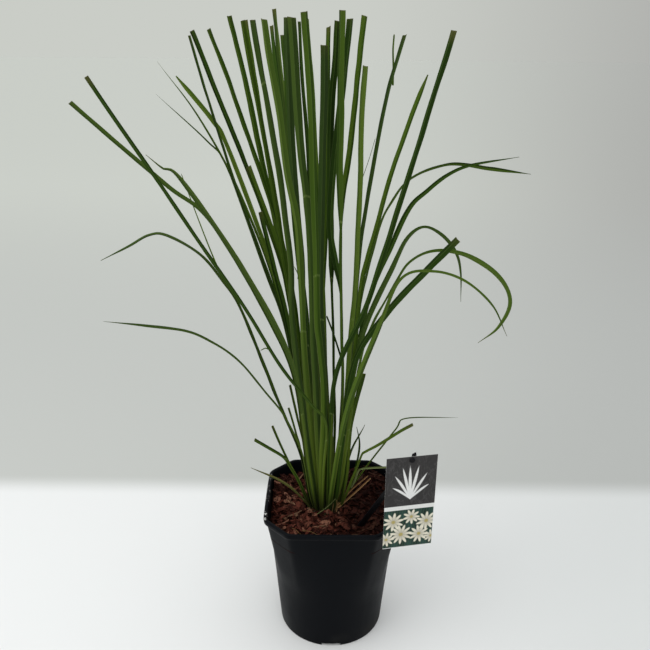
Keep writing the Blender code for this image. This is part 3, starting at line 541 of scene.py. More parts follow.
def blade_widths(along, collar_share, width, end):
    """Width along a leaf: a wide sheath, or a thin stalk, then a neck and the blade. A "tip"
    leaf narrows more and more, a "point" leaf near its end, a "snip" leaf only at its end."""
    share = along / along[-1]
    wider = STALK_WIDTH if end == "stalk" else SHEATH_WIDER
    sheath = width * wider * (1.0 - SHEATH_TAPER * share / collar_share)
    blade = np.clip((share - collar_share) / (1.0 - collar_share), 0.0, 1.0)
    strap = width * (BLADE_NECK + (1.0 - BLADE_NECK) * np.minimum(1.0, blade * FULL_WIDTH_BY))
    if end == "tip":
        strap = width * np.maximum(TIP_LEFT, 1.0 - blade ** TIP_TAPER)
    if end in POINT_LENGTH:
        strap *= np.clip((along[-1] - along) / POINT_LENGTH[end], TIP_LEFT, 1.0)
    return np.where(share <= collar_share, sheath, strap)


def softened(values, reach):
    """A running mean, so that nothing changes in a step."""
    kernel = np.ones(reach * 2 + 1) / (reach * 2 + 1)
    padded = np.concatenate([np.full(reach, values[0]), values, np.full(reach, values[-1])])
    return np.convolve(padded, kernel, "valid")


def unit(vectors):
    """The same directions, each one long."""
    return vectors / np.linalg.norm(vectors, axis=1)[:, None]


def leaf_axes(spine, turn):
    """Along a leaf, across it and up from its upper side, when it is turned about its length."""
    tangent = unit(np.gradient(spine, axis=0))
    level = unit(np.cross((0.0, 1.0, 0.0), tangent))
    side = level * np.cos(turn)[:, None] + np.cross(tangent, level) * np.sin(turn)[:, None]
    return tangent, side, np.cross(side, tangent)


def folded_strip(name, spine, along, turn, facing, half, curl, shares, rng, square_cut=False):
    """Sweeps a leaf's section, folded in the blade and curled in the sheath, along its spine."""
    t = np.array(SAMPLES_ACROSS)
    tangent, side, upper = leaf_axes(spine, turn)
    upper = upper * facing
    wide = half[:, None]
    curled = curl[:, None]
    fold = FOLD * 2.0 * (np.sqrt(t * t + CREASE ** 2) - CREASE)
    curl_across = np.sin(SHEATH_CURL * t) / math.sin(SHEATH_CURL)
    curl_up = (1.0 - np.cos(SHEATH_CURL * t)) / math.sin(SHEATH_CURL)
    u = wide * (t * (1.0 - curled) + curl_across * curled)
    v = wide * (fold * (1.0 - curled) + curl_up * curled)
    ripple = np.stack([wander(rng, along, *RIPPLE), wander(rng, along, *RIPPLE)], 1)
    v += np.where(t < 0, ripple[:, :1], ripple[:, 1:]) * (t * t) * np.minimum(1.0, wide / FULL_RIPPLE_HALF)
    blade_thick = MARGIN_THICK + RIB_THICK * np.exp(-(t / RIB_SHARE) ** 2)
    sheath_thick = MARGIN_THICK + (SHEATH_THICK - MARGIN_THICK) * (1.0 - t * t)
    thick = blade_thick * (1.0 - curled) + sheath_thick * curled
    thick = np.minimum(thick, wide * THICKEST_BY_HALF) * shares[:, None]
    top, under = [spine[:, None] + side[:, None] * u[..., None] + upper[:, None] * height[..., None]
                  for height in (v, v - thick)]
    stations, count = len(spine), len(t)
    if square_cut:
        skew = rng.uniform(-CUT_SKEW, CUT_SKEW)
        for points in (top, under):
            frayed = skew * half[-1] * t + rng.normal(0.0, CUT_FRAY, count)
            points[-1] += tangent[-1] * frayed[:, None]
    size = count * 2
    faces = []
    for i in range(stations - 1):
        a, b = i * size, (i + 1) * size
        for j in range(count - 1):
            k = count + j
            faces.append((a + j, a + j + 1, b + j + 1, b + j))
            faces.append((a + k + 1, a + k, b + k, b + k + 1))
        faces.append((a + count - 1, a + size - 1, b + size - 1, b + count - 1))
        faces.append((a + count, a, b, b + count))
    last = (stations - 1) * size
    for j in range(count - 1):
        faces.append((j, count + j, count + j + 1, j + 1))
    for j in range(last, last + count - 1):
        faces.append((j + 1, count + j + 1, count + j, j))
    if facing < 0:
        faces = [face[::-1] for face in faces]
    return add_mesh(name, np.concatenate([top, under], 1).reshape(-1, 3), faces, LEAF_CREASE)


def note(piece, name, values):
    """Stores three numbers for each point of a mesh, for its material."""
    held = piece.data.attributes.new(name, "FLOAT_VECTOR", "POINT")
    held.data.foreach_set("vector", np.ascontiguousarray(values, dtype=np.float32).ravel())


def noted(tree, name, output="Vector"):
    """What note stored, as a signal."""
    return add_node(tree, "Attribute", {}, output, attribute_name=name)


def note_leaf(leaf, along, heights, collar_height, length, tone, end):
    """Notes where each point is: across, along and over the collar. Notes too the leaf's own
    tone, how far the end is, and which side is the upper one."""
    t = np.array(SAMPLES_ACROSS)
    each = len(t) * 2
    across = np.tile(np.concatenate([t, t]), len(along))
    place = np.stack([across, np.repeat(along, each), np.repeat(heights - collar_height, each)], 1)
    upper = np.tile(np.concatenate([np.ones(len(t)), np.zeros(len(t))]), len(along))
    to_end = np.repeat(length - along, each)
    if end not in ("cut", "stalk"):
        to_end = to_end * 0.5 + 2.0
    note(leaf, "place", place)
    note(leaf, "kin", np.stack([np.full(len(across), tone), to_end, upper], 1))


def leaf_finish(name, deep, middle, bright, under, roughness):
    """Living leaf: veins and streaks along it, one half of the fold painted lighter than the other as painted
    light, a pale collar, a pale foot darkened with painted shade, sheath bands edged with painted shadow
    lines, thin dry sheath margins, and a cut edge gone brown."""
    made, tree, shader = finish(name)
    across, along, over_collar = split(noted(tree, "place"))
    tone, to_end, is_upper = split(noted(tree, "kin"))
    lane = add_node(tree, "CombineXYZ", {0: across, 1: along * 0.012, 2: tone * 37.0})
    streaks = grain(stretched(lane, 6.0, 1.0, 1.0), 1.0, 3.0, 0.6)
    clouds = grain(stretched(lane, 0.7, 0.7, 1.0), 1.0, 2.0)
    veins = maths("SINE", across * 30.0 + streaks * 4.0)
    # Painted light: one half of each folded blade is painted lighter, as if lit, and the other half darker.
    # The leaf's tone picks the side.
    painted_lit_side = maths("SIGN", maths("FRACT", tone * 5.0) - 0.4)
    painted_lit_half = between(across * painted_lit_side, -0.05, 0.05)
    in_sheath = between(over_collar, -6.0, 2.0, 1.0, 0.0)
    # Below the collar the older sheaths lie round the younger ones, in bands, and each band's edge is
    # darkened by a painted shadow line.
    lay = across * 1.3 + along * 0.005 + tone * 9.0
    layer = (maths("FRACT", maths("FLOOR", lay) * 0.618) - 0.35) * in_sheath
    share = clouds * 0.45 + streaks * 0.3 + tone * 0.36 + painted_lit_half * 0.31 + layer * 0.36
    colour = tinted(between(share, 0.36, 0.62), deep, middle)
    colour = tinted(between(share, 0.62, 0.88), colour, bright)
    colour = tinted(between(veins, -0.2, 1.0) * 0.26, colour, bright)
    colour = tinted(maths("SUBTRACT", 1.0, is_upper) * 0.4, colour, under)
    width = maths("ABSOLUTE", across)
    rib = between(width, 0.05, 0.13, 1.0, 0.0) * between(over_collar, -5.0, 40.0)
    colour = tinted(rib * 0.34, colour, (0.085, 0.135, 0.032))
    margin = between(width, 0.90, 0.97) * between(over_collar, 0.0, 20.0)
    colour = tinted(margin * 0.22, colour, (0.110, 0.150, 0.050))
    # Painted shadow: a dark line along each band's edge, for the shade where one sheath overlaps the next.
    painted_sheath_shadow = between(maths("FRACT", lay), 0.0, 0.12, 1.0, 0.0) * in_sheath
    colour = tinted(painted_sheath_shadow * 0.65, colour, deep)
    # Some leaves are greyer than others, and some have dried brown below their cut.
    greyer = between(maths("FRACT", tone * 13.0), 0.60, 0.95, 0.0, 0.40)
    colour = tinted(greyer, colour, (0.034, 0.054, 0.018))
    drier = between(maths("FRACT", tone * 29.0), 0.5, 1.0, 0.15, 0.75)
    # Towards the root some sheaths pale to yellow-green, and their feet are darkened with painted shade, for
    # the shade down in the crowded clump.
    pale = between(along, 50.0, 260.0, 0.85, 0.0) * between(tone + layer, 0.30, 0.85)
    colour = tinted(pale, colour, (0.092, 0.135, 0.016))
    painted_foot_shade = between(along + streaks * 16.0, 10.0, 58.0, 0.80, 0.0)
    colour = tinted(painted_foot_shade, colour, (0.014, 0.015, 0.005))
    dry = between(width, 0.88, 0.98) * between(over_collar, -3.0, 0.0, 0.35, 0.0)
    colour = tinted(dry, colour, (0.16, 0.17, 0.07))
    off_band = maths("ABSOLUTE", over_collar + width * 2.0)
    band = between(off_band, 0.4, 1.9, 0.6, 0.0) * between(streaks, 0.40, 0.6, 0.15, 1.0)
    colour = tinted(band, colour, (0.15, 0.20, 0.06))
    # The cut end has dried to a thin line, with a little yellowing below it.
    ragged = to_end + streaks * -2.0
    yellowed = between(ragged, 0.5, 14.0, 1.0, 0.0) * drier
    colour = tinted(yellowed, colour, (0.075, 0.075, 0.022))
    colour = tinted(between(ragged, -0.8, 0.0, 0.7, 0.0), colour, (0.11, 0.10, 0.05))
    coat(shader, colour, streaks * 0.14 + roughness, 0.03, veins * 0.5 + streaks * 1.2, 0.09, 0.6)
    return made


# Each look: its finish, deep, middle and bright colours, its underside's, and its roughness.
LEAF_LOOKS = {
    "dark": ("leaf_dark_green", (0.0055, 0.0150, 0.0009), (0.0115, 0.0305, 0.0022),
             (0.030, 0.064, 0.007), (0.019, 0.040, 0.007), 0.42),
    "green": ("leaf_mid_green", (0.0088, 0.0235, 0.0010), (0.0225, 0.0515, 0.0028),
              (0.058, 0.102, 0.010), (0.033, 0.062, 0.010), 0.44),
    "light": ("leaf_light_green", (0.0190, 0.0410, 0.0022), (0.0440, 0.0830, 0.0060),
              (0.096, 0.152, 0.018), (0.056, 0.093, 0.018), 0.44),
    "straw": ("leaf_dry_straw", (0.100, 0.043, 0.016), (0.200, 0.095, 0.040),
              (0.300, 0.165, 0.080), (0.220, 0.115, 0.055), 0.62),
    "fading": ("leaf_fading_olive", (0.034, 0.036, 0.010), (0.070, 0.064, 0.021),
               (0.130, 0.100, 0.042), (0.090, 0.072, 0.030), 0.55),
    "pale": ("leaf_pale", (0.090, 0.115, 0.035), (0.140, 0.170, 0.060),
             (0.230, 0.260, 0.110), (0.160, 0.190, 0.070), 0.50),
}
leaf_finishes = {look: leaf_finish(*colours) for look, colours in LEAF_LOOKS.items()}


def grow_leaf(node, look, row, width, collar_height, end, turns, drift, *route):
    """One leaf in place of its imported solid."""
    rng = np.random.default_rng(int(node.split("_")[1]))
    straight, along = even_curve(row_points(row, drift, route), STATION)
    length = along[-1]
    share = along / length
    # Near the crown the leaves draw in to one base, and are narrower and thinner there.
    drawn = 1.0 - GATHER * np.exp((ROOT_HEIGHT - straight[:, 2]) / GATHER_HEIGHT)
    spine = straight.copy()
    for axis in (0, 1):
        spine[:, axis] = CROWN_CENTRE[axis] + (straight[:, axis] - CROWN_CENTRE[axis]) * drawn
    collar_share = share[np.argmax(spine[:, 2] >= collar_height)]
    middle = spine[len(spine) * 2 // 3]
    inward = np.array([CROWN_CENTRE[0] - middle[0], CROWN_CENTRE[1] - middle[1], LOOK_UP])
    turn = softened(np.interp(share, np.linspace(0.0, 1.0, len(turns)), turns), TURN_SOFTENING)
    turn = np.radians(turn + wander(rng, along, *TWIST_DEGREES))
    facing = 1.0 if np.dot(leaf_axes(spine, turn)[2][0], inward) > 0.0 else -1.0
    spine[:, 0] += wander(rng, along, *SWAY) * np.minimum(1.0, along / LOOSE_FROM)
    half = softened(blade_widths(along, collar_share, width, end), WIDTH_SOFTENING) / 2 * drawn
    half *= 1.0 + wander(rng, along, *WIDTH_CHANGE)
    curl = np.clip(0.5 - (along - collar_share * length) / (2.0 * COLLAR_ZONE), 0.0, 1.0)
    square_cut = end in ("cut", "stalk")
    leaf = folded_strip("grass_" + node, spine, along, turn, facing, half, curl, drawn, rng, square_cut)
    note_leaf(leaf, along, spine[:, 2], collar_height, length, rng.uniform(0.0, 1.0), end)
    dress(leaf, leaf_finishes[look])
    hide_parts(node)
    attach(leaf, "root")
    return leaf


grass = [grow_leaf(*leaf) for leaf in LEAVES]


# ---- Loose bits of leaf ----
# Dry straws that lean out of the clump, slivers that split from a blade when it was sheared,
# and short offcuts. They are torn leaf, a few millimetres wide at most, and grow from or lie
# against the leaf or the mulch that carries them.

# Each bit: name, look, width at its foot and at its end, turn in degrees, and its points.
LEAF_BITS = (
    ("straw_right_long", "straw", 2.6, 1.6, -20, (2, 0, 168), (13, 2, 180), (28, 4, 198), (47, 4, 217)),
    ("straw_right_short", "straw", 3.0, 1.8, -30, (4, -3, 168), (17, -1, 180), (31, -2, 196),
     (50, -3, 218)),
    ("offcut_front", "pale", 2.0, 1.3, 40, (-20, -21, 174), (-7, -25, 188), (4, -28, 203)),
    ("pale_leaf_right", "pale", 3.0, 2.8, 5, (24, 1, 200), (29, -1, 213), (33, -1, 227), (37, -1, 230.5),
     (51, -1, 232.5), (69, -1, 233.5), (75, -1, 234.5)),
    ("sliver_beside_right_tall", "light", 2.4, 2.0, 0, (69, 129, 700), (69, 132, 721), (68, 135, 741),
     (69, 139, 759)),
    ("sliver_right_thin", "dark", 0.7, 0.5, 0, (29, 14, 605), (36, 14, 627), (42, 14, 649)),
    ("sliver_right_pointed", "dark", 0.8, 0.5, 0, (47, 13, 560), (56, 13, 596), (65, 14, 625)),
    ("sliver_left_thin", "light", 1.9, 0.8, 10, (-133, -4, 489), (-146, -5, 526), (-159, -6, 566),
     (-173, -7, 611)),
    ("sliver_crossing_back", "dark", 3.0, 2.4, -30, (8, 14, 384), (-2, 13, 416), (-10, 12, 438)),
    ("curl_left", "dark", 1.5, 1.1, 40, (-77, -31, 410), (-81.5, -31, 412.5), (-87.5, -31, 409.5)),
    ("flap_middle", "green", 1.6, 0.8, 30, (-43, -38, 500), (-43, -41, 507), (-47, -43, 516)),
    ("dry_stem_left", "straw", 1.6, 1.0, 20, (-2, -13, 166), (0, -17, 178), (1, -20, 190)),
    ("dry_stem_right", "straw", 1.8, 1.2, -10, (4, -12, 166), (6, -17, 182), (5, -22, 197)),
    ("straw_on_mulch_front", "straw", 0.9, 0.6, 0, (-38, -56, 174), (-27, -61, 176), (-16, -67, 174)),
    ("straw_on_mulch_left", "straw", 0.8, 0.5, 0, (-55, -50, 174), (-47, -57, 176), (-39, -65, 174)),
)
BIT_STATION = 2.0
BIT_THICK_SHARE = 0.6
# A bit counts as this far up its leaf, which is past the painted shade at the feet.
BIT_ALONG = 200.0


def tear_bit(name, look, foot, end, turn, *route):
    """One loose bit, on a mesh of its own."""
    rng = np.random.default_rng(len(name) * 7 + int(route[0][2]))
    spine, along = even_curve(np.array(route, float), BIT_STATION)
    each = np.ones(len(along))
    half = np.linspace(foot, end, len(along)) / 2.0
    half[-1] *= 0.5
    bit = folded_strip(name, spine, along, each * math.radians(turn), 1.0, half, each * 0.0,
                       each * BIT_THICK_SHARE, rng)
    up_leaf = along + BIT_ALONG
    note_leaf(bit, up_leaf, spine[:, 2], 0.0, up_leaf[-1], rng.uniform(0.2, 0.8), "cut")
    dress(bit, leaf_finishes[look])
    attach(bit, "root")


for bit in LEAF_BITS:
    tear_bit(*bit)


# ---- Bark mulch ----
# Composted pine bark, spread over the soil round the crown: dark fines below, and on them
# loose red-brown chips that lie over each other, a few of them split to show paler wood. The
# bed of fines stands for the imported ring, and the chips lie on the bed.
MULCH_LEVEL = 169.0
MULCH_UNDER = 157.5
BED_BACK_RISE = 3.0
# Where the mulch is heaped against the wall: x, y, height and reach of each heap.
HEAPS = ((62.0, 72.0, 13.5, 38.0), (-84.0, 42.0, 12.0, 26.0))
# Each size of lump in the bed: how close they come, and how high they are.
BED_LUMPS = ((0.045, 1.6), (0.3, 0.9), (0.9, 0.5))
WALL_DIP = 1.5
WALL_DIP_REACH = 85.0
MULCH_INSET = 2.2
MULCH_HOLE = (27.0, 23.5)
BED_RINGS = 34
BED_CREASE = 60.0


def bed_rise(x, y):
    """How much higher the bed is toward the back wall, and where it is heaped."""
    rise = BED_BACK_RISE * max(0.0, y / (RIM_WIDTH / 2))
    for heap_x, heap_y, height, reach in HEAPS:
        away = math.hypot(x - heap_x, y - heap_y) / reach
        rise += height * math.exp(-away * away / 2.0)
    return rise


def bed_height(x, y):
    """The top of the fines: gently uneven, and a little lower at the wall."""
    here = Vector((x, y, 0.0))
    lumps = sum(noise.noise(here * closeness) * height for closeness, height in BED_LUMPS)
    return MULCH_LEVEL + lumps + bed_rise(x, y) - WALL_DIP * (math.hypot(x, y) / WALL_DIP_REACH) ** 4


hole = [(CROWN_CENTRE[0] + MULCH_HOLE[0] * math.cos(a), CROWN_CENTRE[1] + MULCH_HOLE[1] * math.sin(a))
        for a in wall_angles()]
wall = [(x, y) for x, y, z in wall_ring(MULCH_LEVEL, MULCH_INSET)]
rings = [[(x, y, MULCH_UNDER) for x, y in wall]]
for ring in range(BED_RINGS + 1):
    share = ring / BED_RINGS
    spots = [(a[0] + (b[0] - a[0]) * share, a[1] + (b[1] - a[1]) * share) for a, b in zip(wall, hole)]
    rings.append([(x, y, bed_height(x, y)) for x, y in spots])
rings.append([(x, y, MULCH_UNDER) for x, y in hole])
points, faces = stack(rings, closed_ends=False)
count = len(wall)
last = (len(rings) - 1) * count
faces += [(last + i, last + (i + 1) % count, (i + 1) % count, i) for i in range(count)]
bed = add_mesh("mulch_fines", points, faces, BED_CREASE)
fines, tree, shader = finish("bark_fines")
where = place_of(tree)
crumbs = grain(where, 330.0, 5.0, 0.7)
shreds = grain(stretched(where, 200.0, 700.0, 400.0), 1.0, 4.0, 0.6)
colour = tinted(between(crumbs, 0.35, 0.7), (0.0040, 0.0010, 0.0006), (0.0240, 0.0065, 0.0035))
colour = tinted(between(shreds, 0.62, 0.72), colour, (0.070, 0.026, 0.015))
coat(shader, colour, 0.9, 0.04, crumbs + shreds, 1.4, 0.9)
dress(bed, fines)
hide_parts("bark_mulch")
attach(bed, "root")

# The chips are dropped one by one, and each lies on what the chips before it have built up.
CHIP_COUNT = 1050
CHIP_FIELD = 84.0
CHIP_THICK = (0.8, 2.2)
# Each sort of chip: up to which share of the draws, its lengths, and its widths by length.
CHIP_SORTS = ((0.32, (8.0, 21.0), (0.14, 0.34)), (0.80, (4.5, 11.0), (0.28, 0.62)),
              (1.0, (3.0, 5.5), (0.28, 0.62)))
# The larger chips that lie on top: x, y, length, width, turn and how freshly split.
TOP_CHIPS = ((-74.0, 8.0, 15.0, 9.0, 1.2, 0.93), (-63.0, -38.0, 17.0, 8.0, 0.15, 0.99),
             (-10.0, -38.0, 13.0, 7.5, -0.1, 0.95), (48.0, -53.0, 14.0, 5.0, 0.5, 0.97),
             (52.0, -47.0, 11.0, 4.0, 0.7, 0.92), (-40.0, 24.0, 11.0, 4.5, -0.2, 0.90),
             (-31.0, -38.0, 15.0, 6.5, 0.9, 0.88), (17.0, -50.0, 14.0, 6.0, -0.5, 0.86))
CHIP_LEVEL = 174.0
CHIP_TO_WALL = 0.42
WALL_CLEARANCE = 1.0
PILE_TOP = 176.5
STEEPEST = 0.5
SLOPE_SPREAD = (0.17, 0.22)
# A chip beds on the cells under it: on this percentile of their heights, lifted by this much
# of its thickness.
BEDDING_PERCENTILE = 72
BEDDING_LIFT = 0.35
CROWN_ROOM = (20.0, 16.0)
CLUMP_FOOT = 190.0
GRID_STEP = 1.0
GRID_REACH = 95
FEWEST_CELLS = 3
CHIP_CREASE = 28.0
ALONG_CHIP = 6
ACROSS_CHIP = 4

clump_points = []
clump_faces = []
for leaf in grass:
    for corner in leaf.data.polygons:
        spots = [leaf.data.vertices[i].co / MM for i in corner.vertices]
        if max(spot.z for spot in spots) < CLUMP_FOOT:
            clump_faces.append(tuple(range(len(clump_points), len(clump_points) + len(spots))))
            clump_points += [tuple(spot) for spot in spots]
clump = BVHTree.FromPolygons(clump_points, clump_faces)
cells = np.arange(-GRID_REACH, GRID_REACH + GRID_STEP, GRID_STEP)
grid_x, grid_y = np.meshgrid(cells, cells, indexing="ij")
built = np.vectorize(bed_height)(grid_x, grid_y)


def chip_shape(rng, length, width, thick):
    """A split piece of bark: frayed ends, tapering sides, a slight curl, and its own faces."""
    skew = rng.uniform(-0.35, 0.35)
    narrow = rng.uniform(0.35, 0.9, 2)
    bend = rng.uniform(-0.10, 0.14) * length
    frayed = rng.uniform(0.72, 1.0, (2, ACROSS_CHIP))
    points = []
    for level in (1.0, -1.0):
        for a in np.linspace(-1.0, 1.0, ALONG_CHIP):
            half = 0 if a < 0 else 1
            taper = 1.0 - (1.0 - narrow[half]) * abs(a) ** 1.6
            for j, b in enumerate(np.linspace(-1.0, 1.0, ACROSS_CHIP)):
                end = frayed[half, j] if abs(a) == 1.0 else 1.0
                x = length / 2 * a * end + skew * width * b * 0.5
                y = width / 2 * b * taper + rng.uniform(-0.06, 0.06) * width
                body = 1.0 - 0.45 * abs(b) ** 2 - 0.35 * abs(a) ** 3
                z = level * thick / 2 * body * rng.uniform(0.75, 1.15) - bend * a * a
                points.append((x, y, z))
    size = ALONG_CHIP * ACROSS_CHIP
    rows = range(0, size - ACROSS_CHIP, ACROSS_CHIP)
    lanes = range(ACROSS_CHIP - 1)
    faces = []
    for row in rows:
        for a in range(row, row + ACROSS_CHIP - 1):
            b = a + ACROSS_CHIP
            faces.append((a, b, b + 1, a + 1))
            faces.append((size + a, size + a + 1, size + b + 1, size + b))
    far = size - ACROSS_CHIP
    near = ACROSS_CHIP - 1
    edge = [(row, row + ACROSS_CHIP) for row in rows] + [(far + lane, far + lane + 1) for lane in lanes]
    edge += [(row + ACROSS_CHIP + near, row + near) for row in reversed(rows)]
    edge += [(lane + 1, lane) for lane in reversed(lanes)]
    faces += [(b, a, a + size, b + size) for a, b in edge]
    return np.array(points), faces


rng = np.random.default_rng(41)
chip_points = []
chip_faces = []
chip_tones = []
chip_grain = []
dropped = 0
for attempt in range(CHIP_COUNT * 4):
    if dropped == CHIP_COUNT:
        break
    x, y = rng.uniform(-CHIP_FIELD, CHIP_FIELD, 2)
    sort = rng.uniform()
    lengths, widths = next(sizes for share, *sizes in CHIP_SORTS if sort < share)
    length = rng.uniform(*lengths)
    width = length * rng.uniform(*widths)
    thick = rng.uniform(*CHIP_THICK)
    turn = rng.uniform(0.0, math.tau)
    on_top = dropped - (CHIP_COUNT - len(TOP_CHIPS))
    if on_top >= 0:
        x, y, length, width, turn, freshness = TOP_CHIPS[on_top]
    inner_wall = wall_radius(math.atan2(y, x), CHIP_LEVEL) - WALL - WALL_CLEARANCE
    if math.hypot(x, y) + length * CHIP_TO_WALL > inner_wall:
        continue
    lx = (grid_x - x) * math.cos(turn) + (grid_y - y) * math.sin(turn)
    ly = (grid_y - y) * math.cos(turn) - (grid_x - x) * math.sin(turn)
    under = (np.abs(lx) < length * 0.5) & (np.abs(ly) < width * 0.5)
    if under.sum() < FEWEST_CELLS:
        continue
    # A chip takes the slope of what is under it, and a little more or less by chance.
    heights = built[under]
    fit = np.stack([lx[under], ly[under], np.ones(under.sum())], 1)
    slope = np.clip(np.linalg.lstsq(fit, heights, rcond=None)[0][:2], -STEEPEST, STEEPEST)
    slope_x = float(slope[0] + rng.normal(0.0, SLOPE_SPREAD[0]))
    slope_y = float(slope[1] + rng.normal(0.0, SLOPE_SPREAD[1]))
    level = float(np.percentile(heights, BEDDING_PERCENTILE)) + thick * BEDDING_LIFT
    if level > PILE_TOP + bed_rise(x, y) and on_top < 0:
        continue
    shape, faces = chip_shape(rng, length, width, thick)
    placed = np.stack([x + shape[:, 0] * math.cos(turn) - shape[:, 1] * math.sin(turn),
                       y + shape[:, 0] * math.sin(turn) + shape[:, 1] * math.cos(turn),
                       level + (shape[:, 2] + (slope_x * shape[:, 0] + slope_y * shape[:, 1]))], 1)
    if BVHTree.FromPolygons(placed.tolist(), faces).overlap(clump):
        continue
    if math.hypot((x - CROWN_CENTRE[0]) / CROWN_ROOM[0], (y - CROWN_CENTRE[1]) / CROWN_ROOM[1]) < 1.0:
        continue
    top = level + thick * 0.5 + slope_x * lx[under] + slope_y * ly[under]
    built[under] = np.maximum(heights, top)
    start = len(chip_points)
    chip_points += placed.tolist()
    chip_faces += [tuple(start + i for i in face) for face in faces]
    drawn_freshness = rng.uniform()
    if on_top < 0:
        freshness = drawn_freshness
    chip_tones += [(freshness, rng.uniform(), 0.0)] * len(shape)
    chip_grain += (shape + [start * 0.37, start * 0.11, 0.0]).tolist()
    dropped += 1
chips = add_mesh("bark_chips", chip_points, chip_faces, CHIP_CREASE)
note(chips, "tone", chip_tones)
note(chips, "chip_grain", chip_grain)

bark, tree, shader = finish("pine_bark")
split_lately, second = split(noted(tree, "tone"))[:2]
own = noted(tree, "chip_grain")
fibres = grain(stretched(own, 0.25, 2.2, 1.4), 1.0, 4.0, 0.65)
blotches = grain(stretched(own, 0.35, 0.5, 0.5), 1.0, 2.0)
colour = tinted(between(split_lately, 0.1, 0.75), (0.0105, 0.0017, 0.0009), (0.0840, 0.0220, 0.0135))
colour = tinted(between(split_lately, 0.84, 0.96), colour, (0.180, 0.080, 0.050))
colour = tinted(between(second, 0.955, 0.985) * 0.7, colour, (0.22, 0.13, 0.075))
colour = tinted(between(fibres, 0.48, 0.70, 0.0, 0.65), colour, (0.130, 0.051, 0.035))
colour = tinted(between(blotches, 0.47, 0.66, 0.0, 0.85), colour, (0.0075, 0.0020, 0.0012))
# Painted shadow: the right of the bed is painted darker, for the shade that the clump casts on it.
painted_clump_shadow = between(split(place_of(tree))[0], -0.010, 0.035, 0.0, 0.72)
colour = tinted(painted_clump_shadow, colour, (0.0040, 0.0014, 0.0010))
coat(shader, colour, between(fibres, 0.3, 0.7, 0.62, 0.9), 0.04, fibres, 0.5, 0.8)
dress(chips, bark)
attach(chips, "root")


# ---- Label stake ----
# One moulded piece of black plastic: a flat leg pushed into the mulch, a peg whose head snaps
# through the label's hole, and a barb that stands above it.
LABEL_SIZE = (61.5, 125.0)
LABEL_THICK = 0.6
LABEL_TOP_CENTRE = Vector((90.0, -92.0, 305.0))
LABEL_TURN = math.radians(11.3)
LABEL_HOLE = 5.0
LABEL_HOLE_DROP = 4.8
STAKE_AT_MULCH = Vector((36.6, -40.7, 172.0))
STAKE_BURIED = 60.0
STAKE_WIDTH = 9.0
STAKE_TAPER = 0.0045
STAKE_NECK = 4.2
STAKE_THICK = 1.8
LABEL_GAP = 0.525
STAKE_EDGE = 0.45
# The groove down each face: half its width and its depth left, by the leg's own.
GROOVE = (0.35, 0.72)
PEG_SIDES = 32
PEG_DROP = 7.0
PEG_OFFSET = 3.0
UP = Vector((0.0, 0.0, 1.0))
label_across = Vector((math.cos(LABEL_TURN), math.sin(LABEL_TURN), 0.0))
label_front = Vector((math.sin(LABEL_TURN), -math.cos(LABEL_TURN), 0.0))
hole_centre = LABEL_TOP_CENTRE - UP * LABEL_HOLE_DROP
behind = STAKE_THICK / 2 + LABEL_THICK / 2 + LABEL_GAP
at_hole = hole_centre - label_front * behind
below_hole = at_hole - UP * PEG_DROP - (label_front + label_across) * PEG_OFFSET
way_up = (below_hole - STAKE_AT_MULCH).normalized()
# Each station of the leg: its centre, half its width and half its thickness.
leg = [(STAKE_AT_MULCH - way_up * STAKE_BURIED, 0.8, 0.5)]
leg += [(STAKE_AT_MULCH - way_up * (STAKE_BURIED - 8.0), 2.3, 0.9)]
leg += [(STAKE_AT_MULCH + way_up * step, STAKE_WIDTH / 2 - step * STAKE_TAPER, STAKE_THICK / 2)
        for step in (-40.0, -20.0, 0.0, 30.0, 60.0)]
leg += [(STAKE_AT_MULCH.lerp(below_hole, share), half, STAKE_THICK / 2)
        for share, half in ((0.72, 3.5), (0.86, 2.7), (0.95, 2.2), (1.0, STAKE_NECK / 2))]
leg += [(below_hole.lerp(at_hole, share), STAKE_NECK / 2, STAKE_THICK / 2) for share in (0.5, 1.0)]
leg += [(at_hole + label_across * right + UP * up, half, thin)
        for right, up, half, thin in ((1.3, 2.6, 2.0, 0.9), (2.2, 4.6, 2.4, 0.85), (2.7, 5.3, 3.1, 0.8),
                                      (3.6, 7.1, 1.7, 0.7), (4.4, 8.6, 0.5, 0.5))]
rings = []
for i, (centre, half, thin) in enumerate(leg):
    tangent = (leg[min(i + 1, len(leg) - 1)][0] - leg[max(i - 1, 0)][0]).normalized()
    side = (label_across - tangent * label_across.dot(tangent)).normalized()
    outward = side.cross(tangent)
    soft = thin * STAKE_EDGE
    # A flat strip with rounded corners and a shallow groove down each face.
    quarter = ((half, thin - soft), (half - soft, thin), (half * GROOVE[0], thin), (0.0, thin * GROOVE[1]))
    face = [(-u, -v) for u, v in quarter] + [(u, -v) for u, v in quarter[2::-1]]
    section = face + [(-u, -v) for u, v in face]
    rings.append([tuple(centre + side * u + outward * v) for u, v in section])
leg_points, leg_faces = stack(rings)
# The peg and its domed head are turned about the hole's axis, as (radius, reach forward).
profile = ((1.7, -behind - STAKE_THICK / 2 + 0.2), (1.7, 0.35), (1.75, 0.55), (3.4, 0.66), (3.4, 0.95),
           (3.15, 1.5), (2.6, 1.9), (1.8, 2.15), (0.9, 2.27), (0.25, 2.3))
peg_up = label_across.cross(label_front)
rings = []
for radius, reach in profile:
    ring = []
    for i in range(PEG_SIDES):
        turn = math.tau * i / PEG_SIDES
        point = hole_centre + label_front * reach
        point += (label_across * math.cos(turn) + peg_up * math.sin(turn)) * radius
        ring.append(tuple(point))
    rings.append(ring)
peg_points, peg_faces = stack(rings)
start = len(leg_points)
stake = add_mesh("label_spike", leg_points + peg_points,
                 leg_faces + [tuple(start + i for i in face) for face in peg_faces])
gloss, tree, shader = finish("black_stake_plastic")
where = place_of(tree)
cloudy = grain(where, 60.0, 3.0)
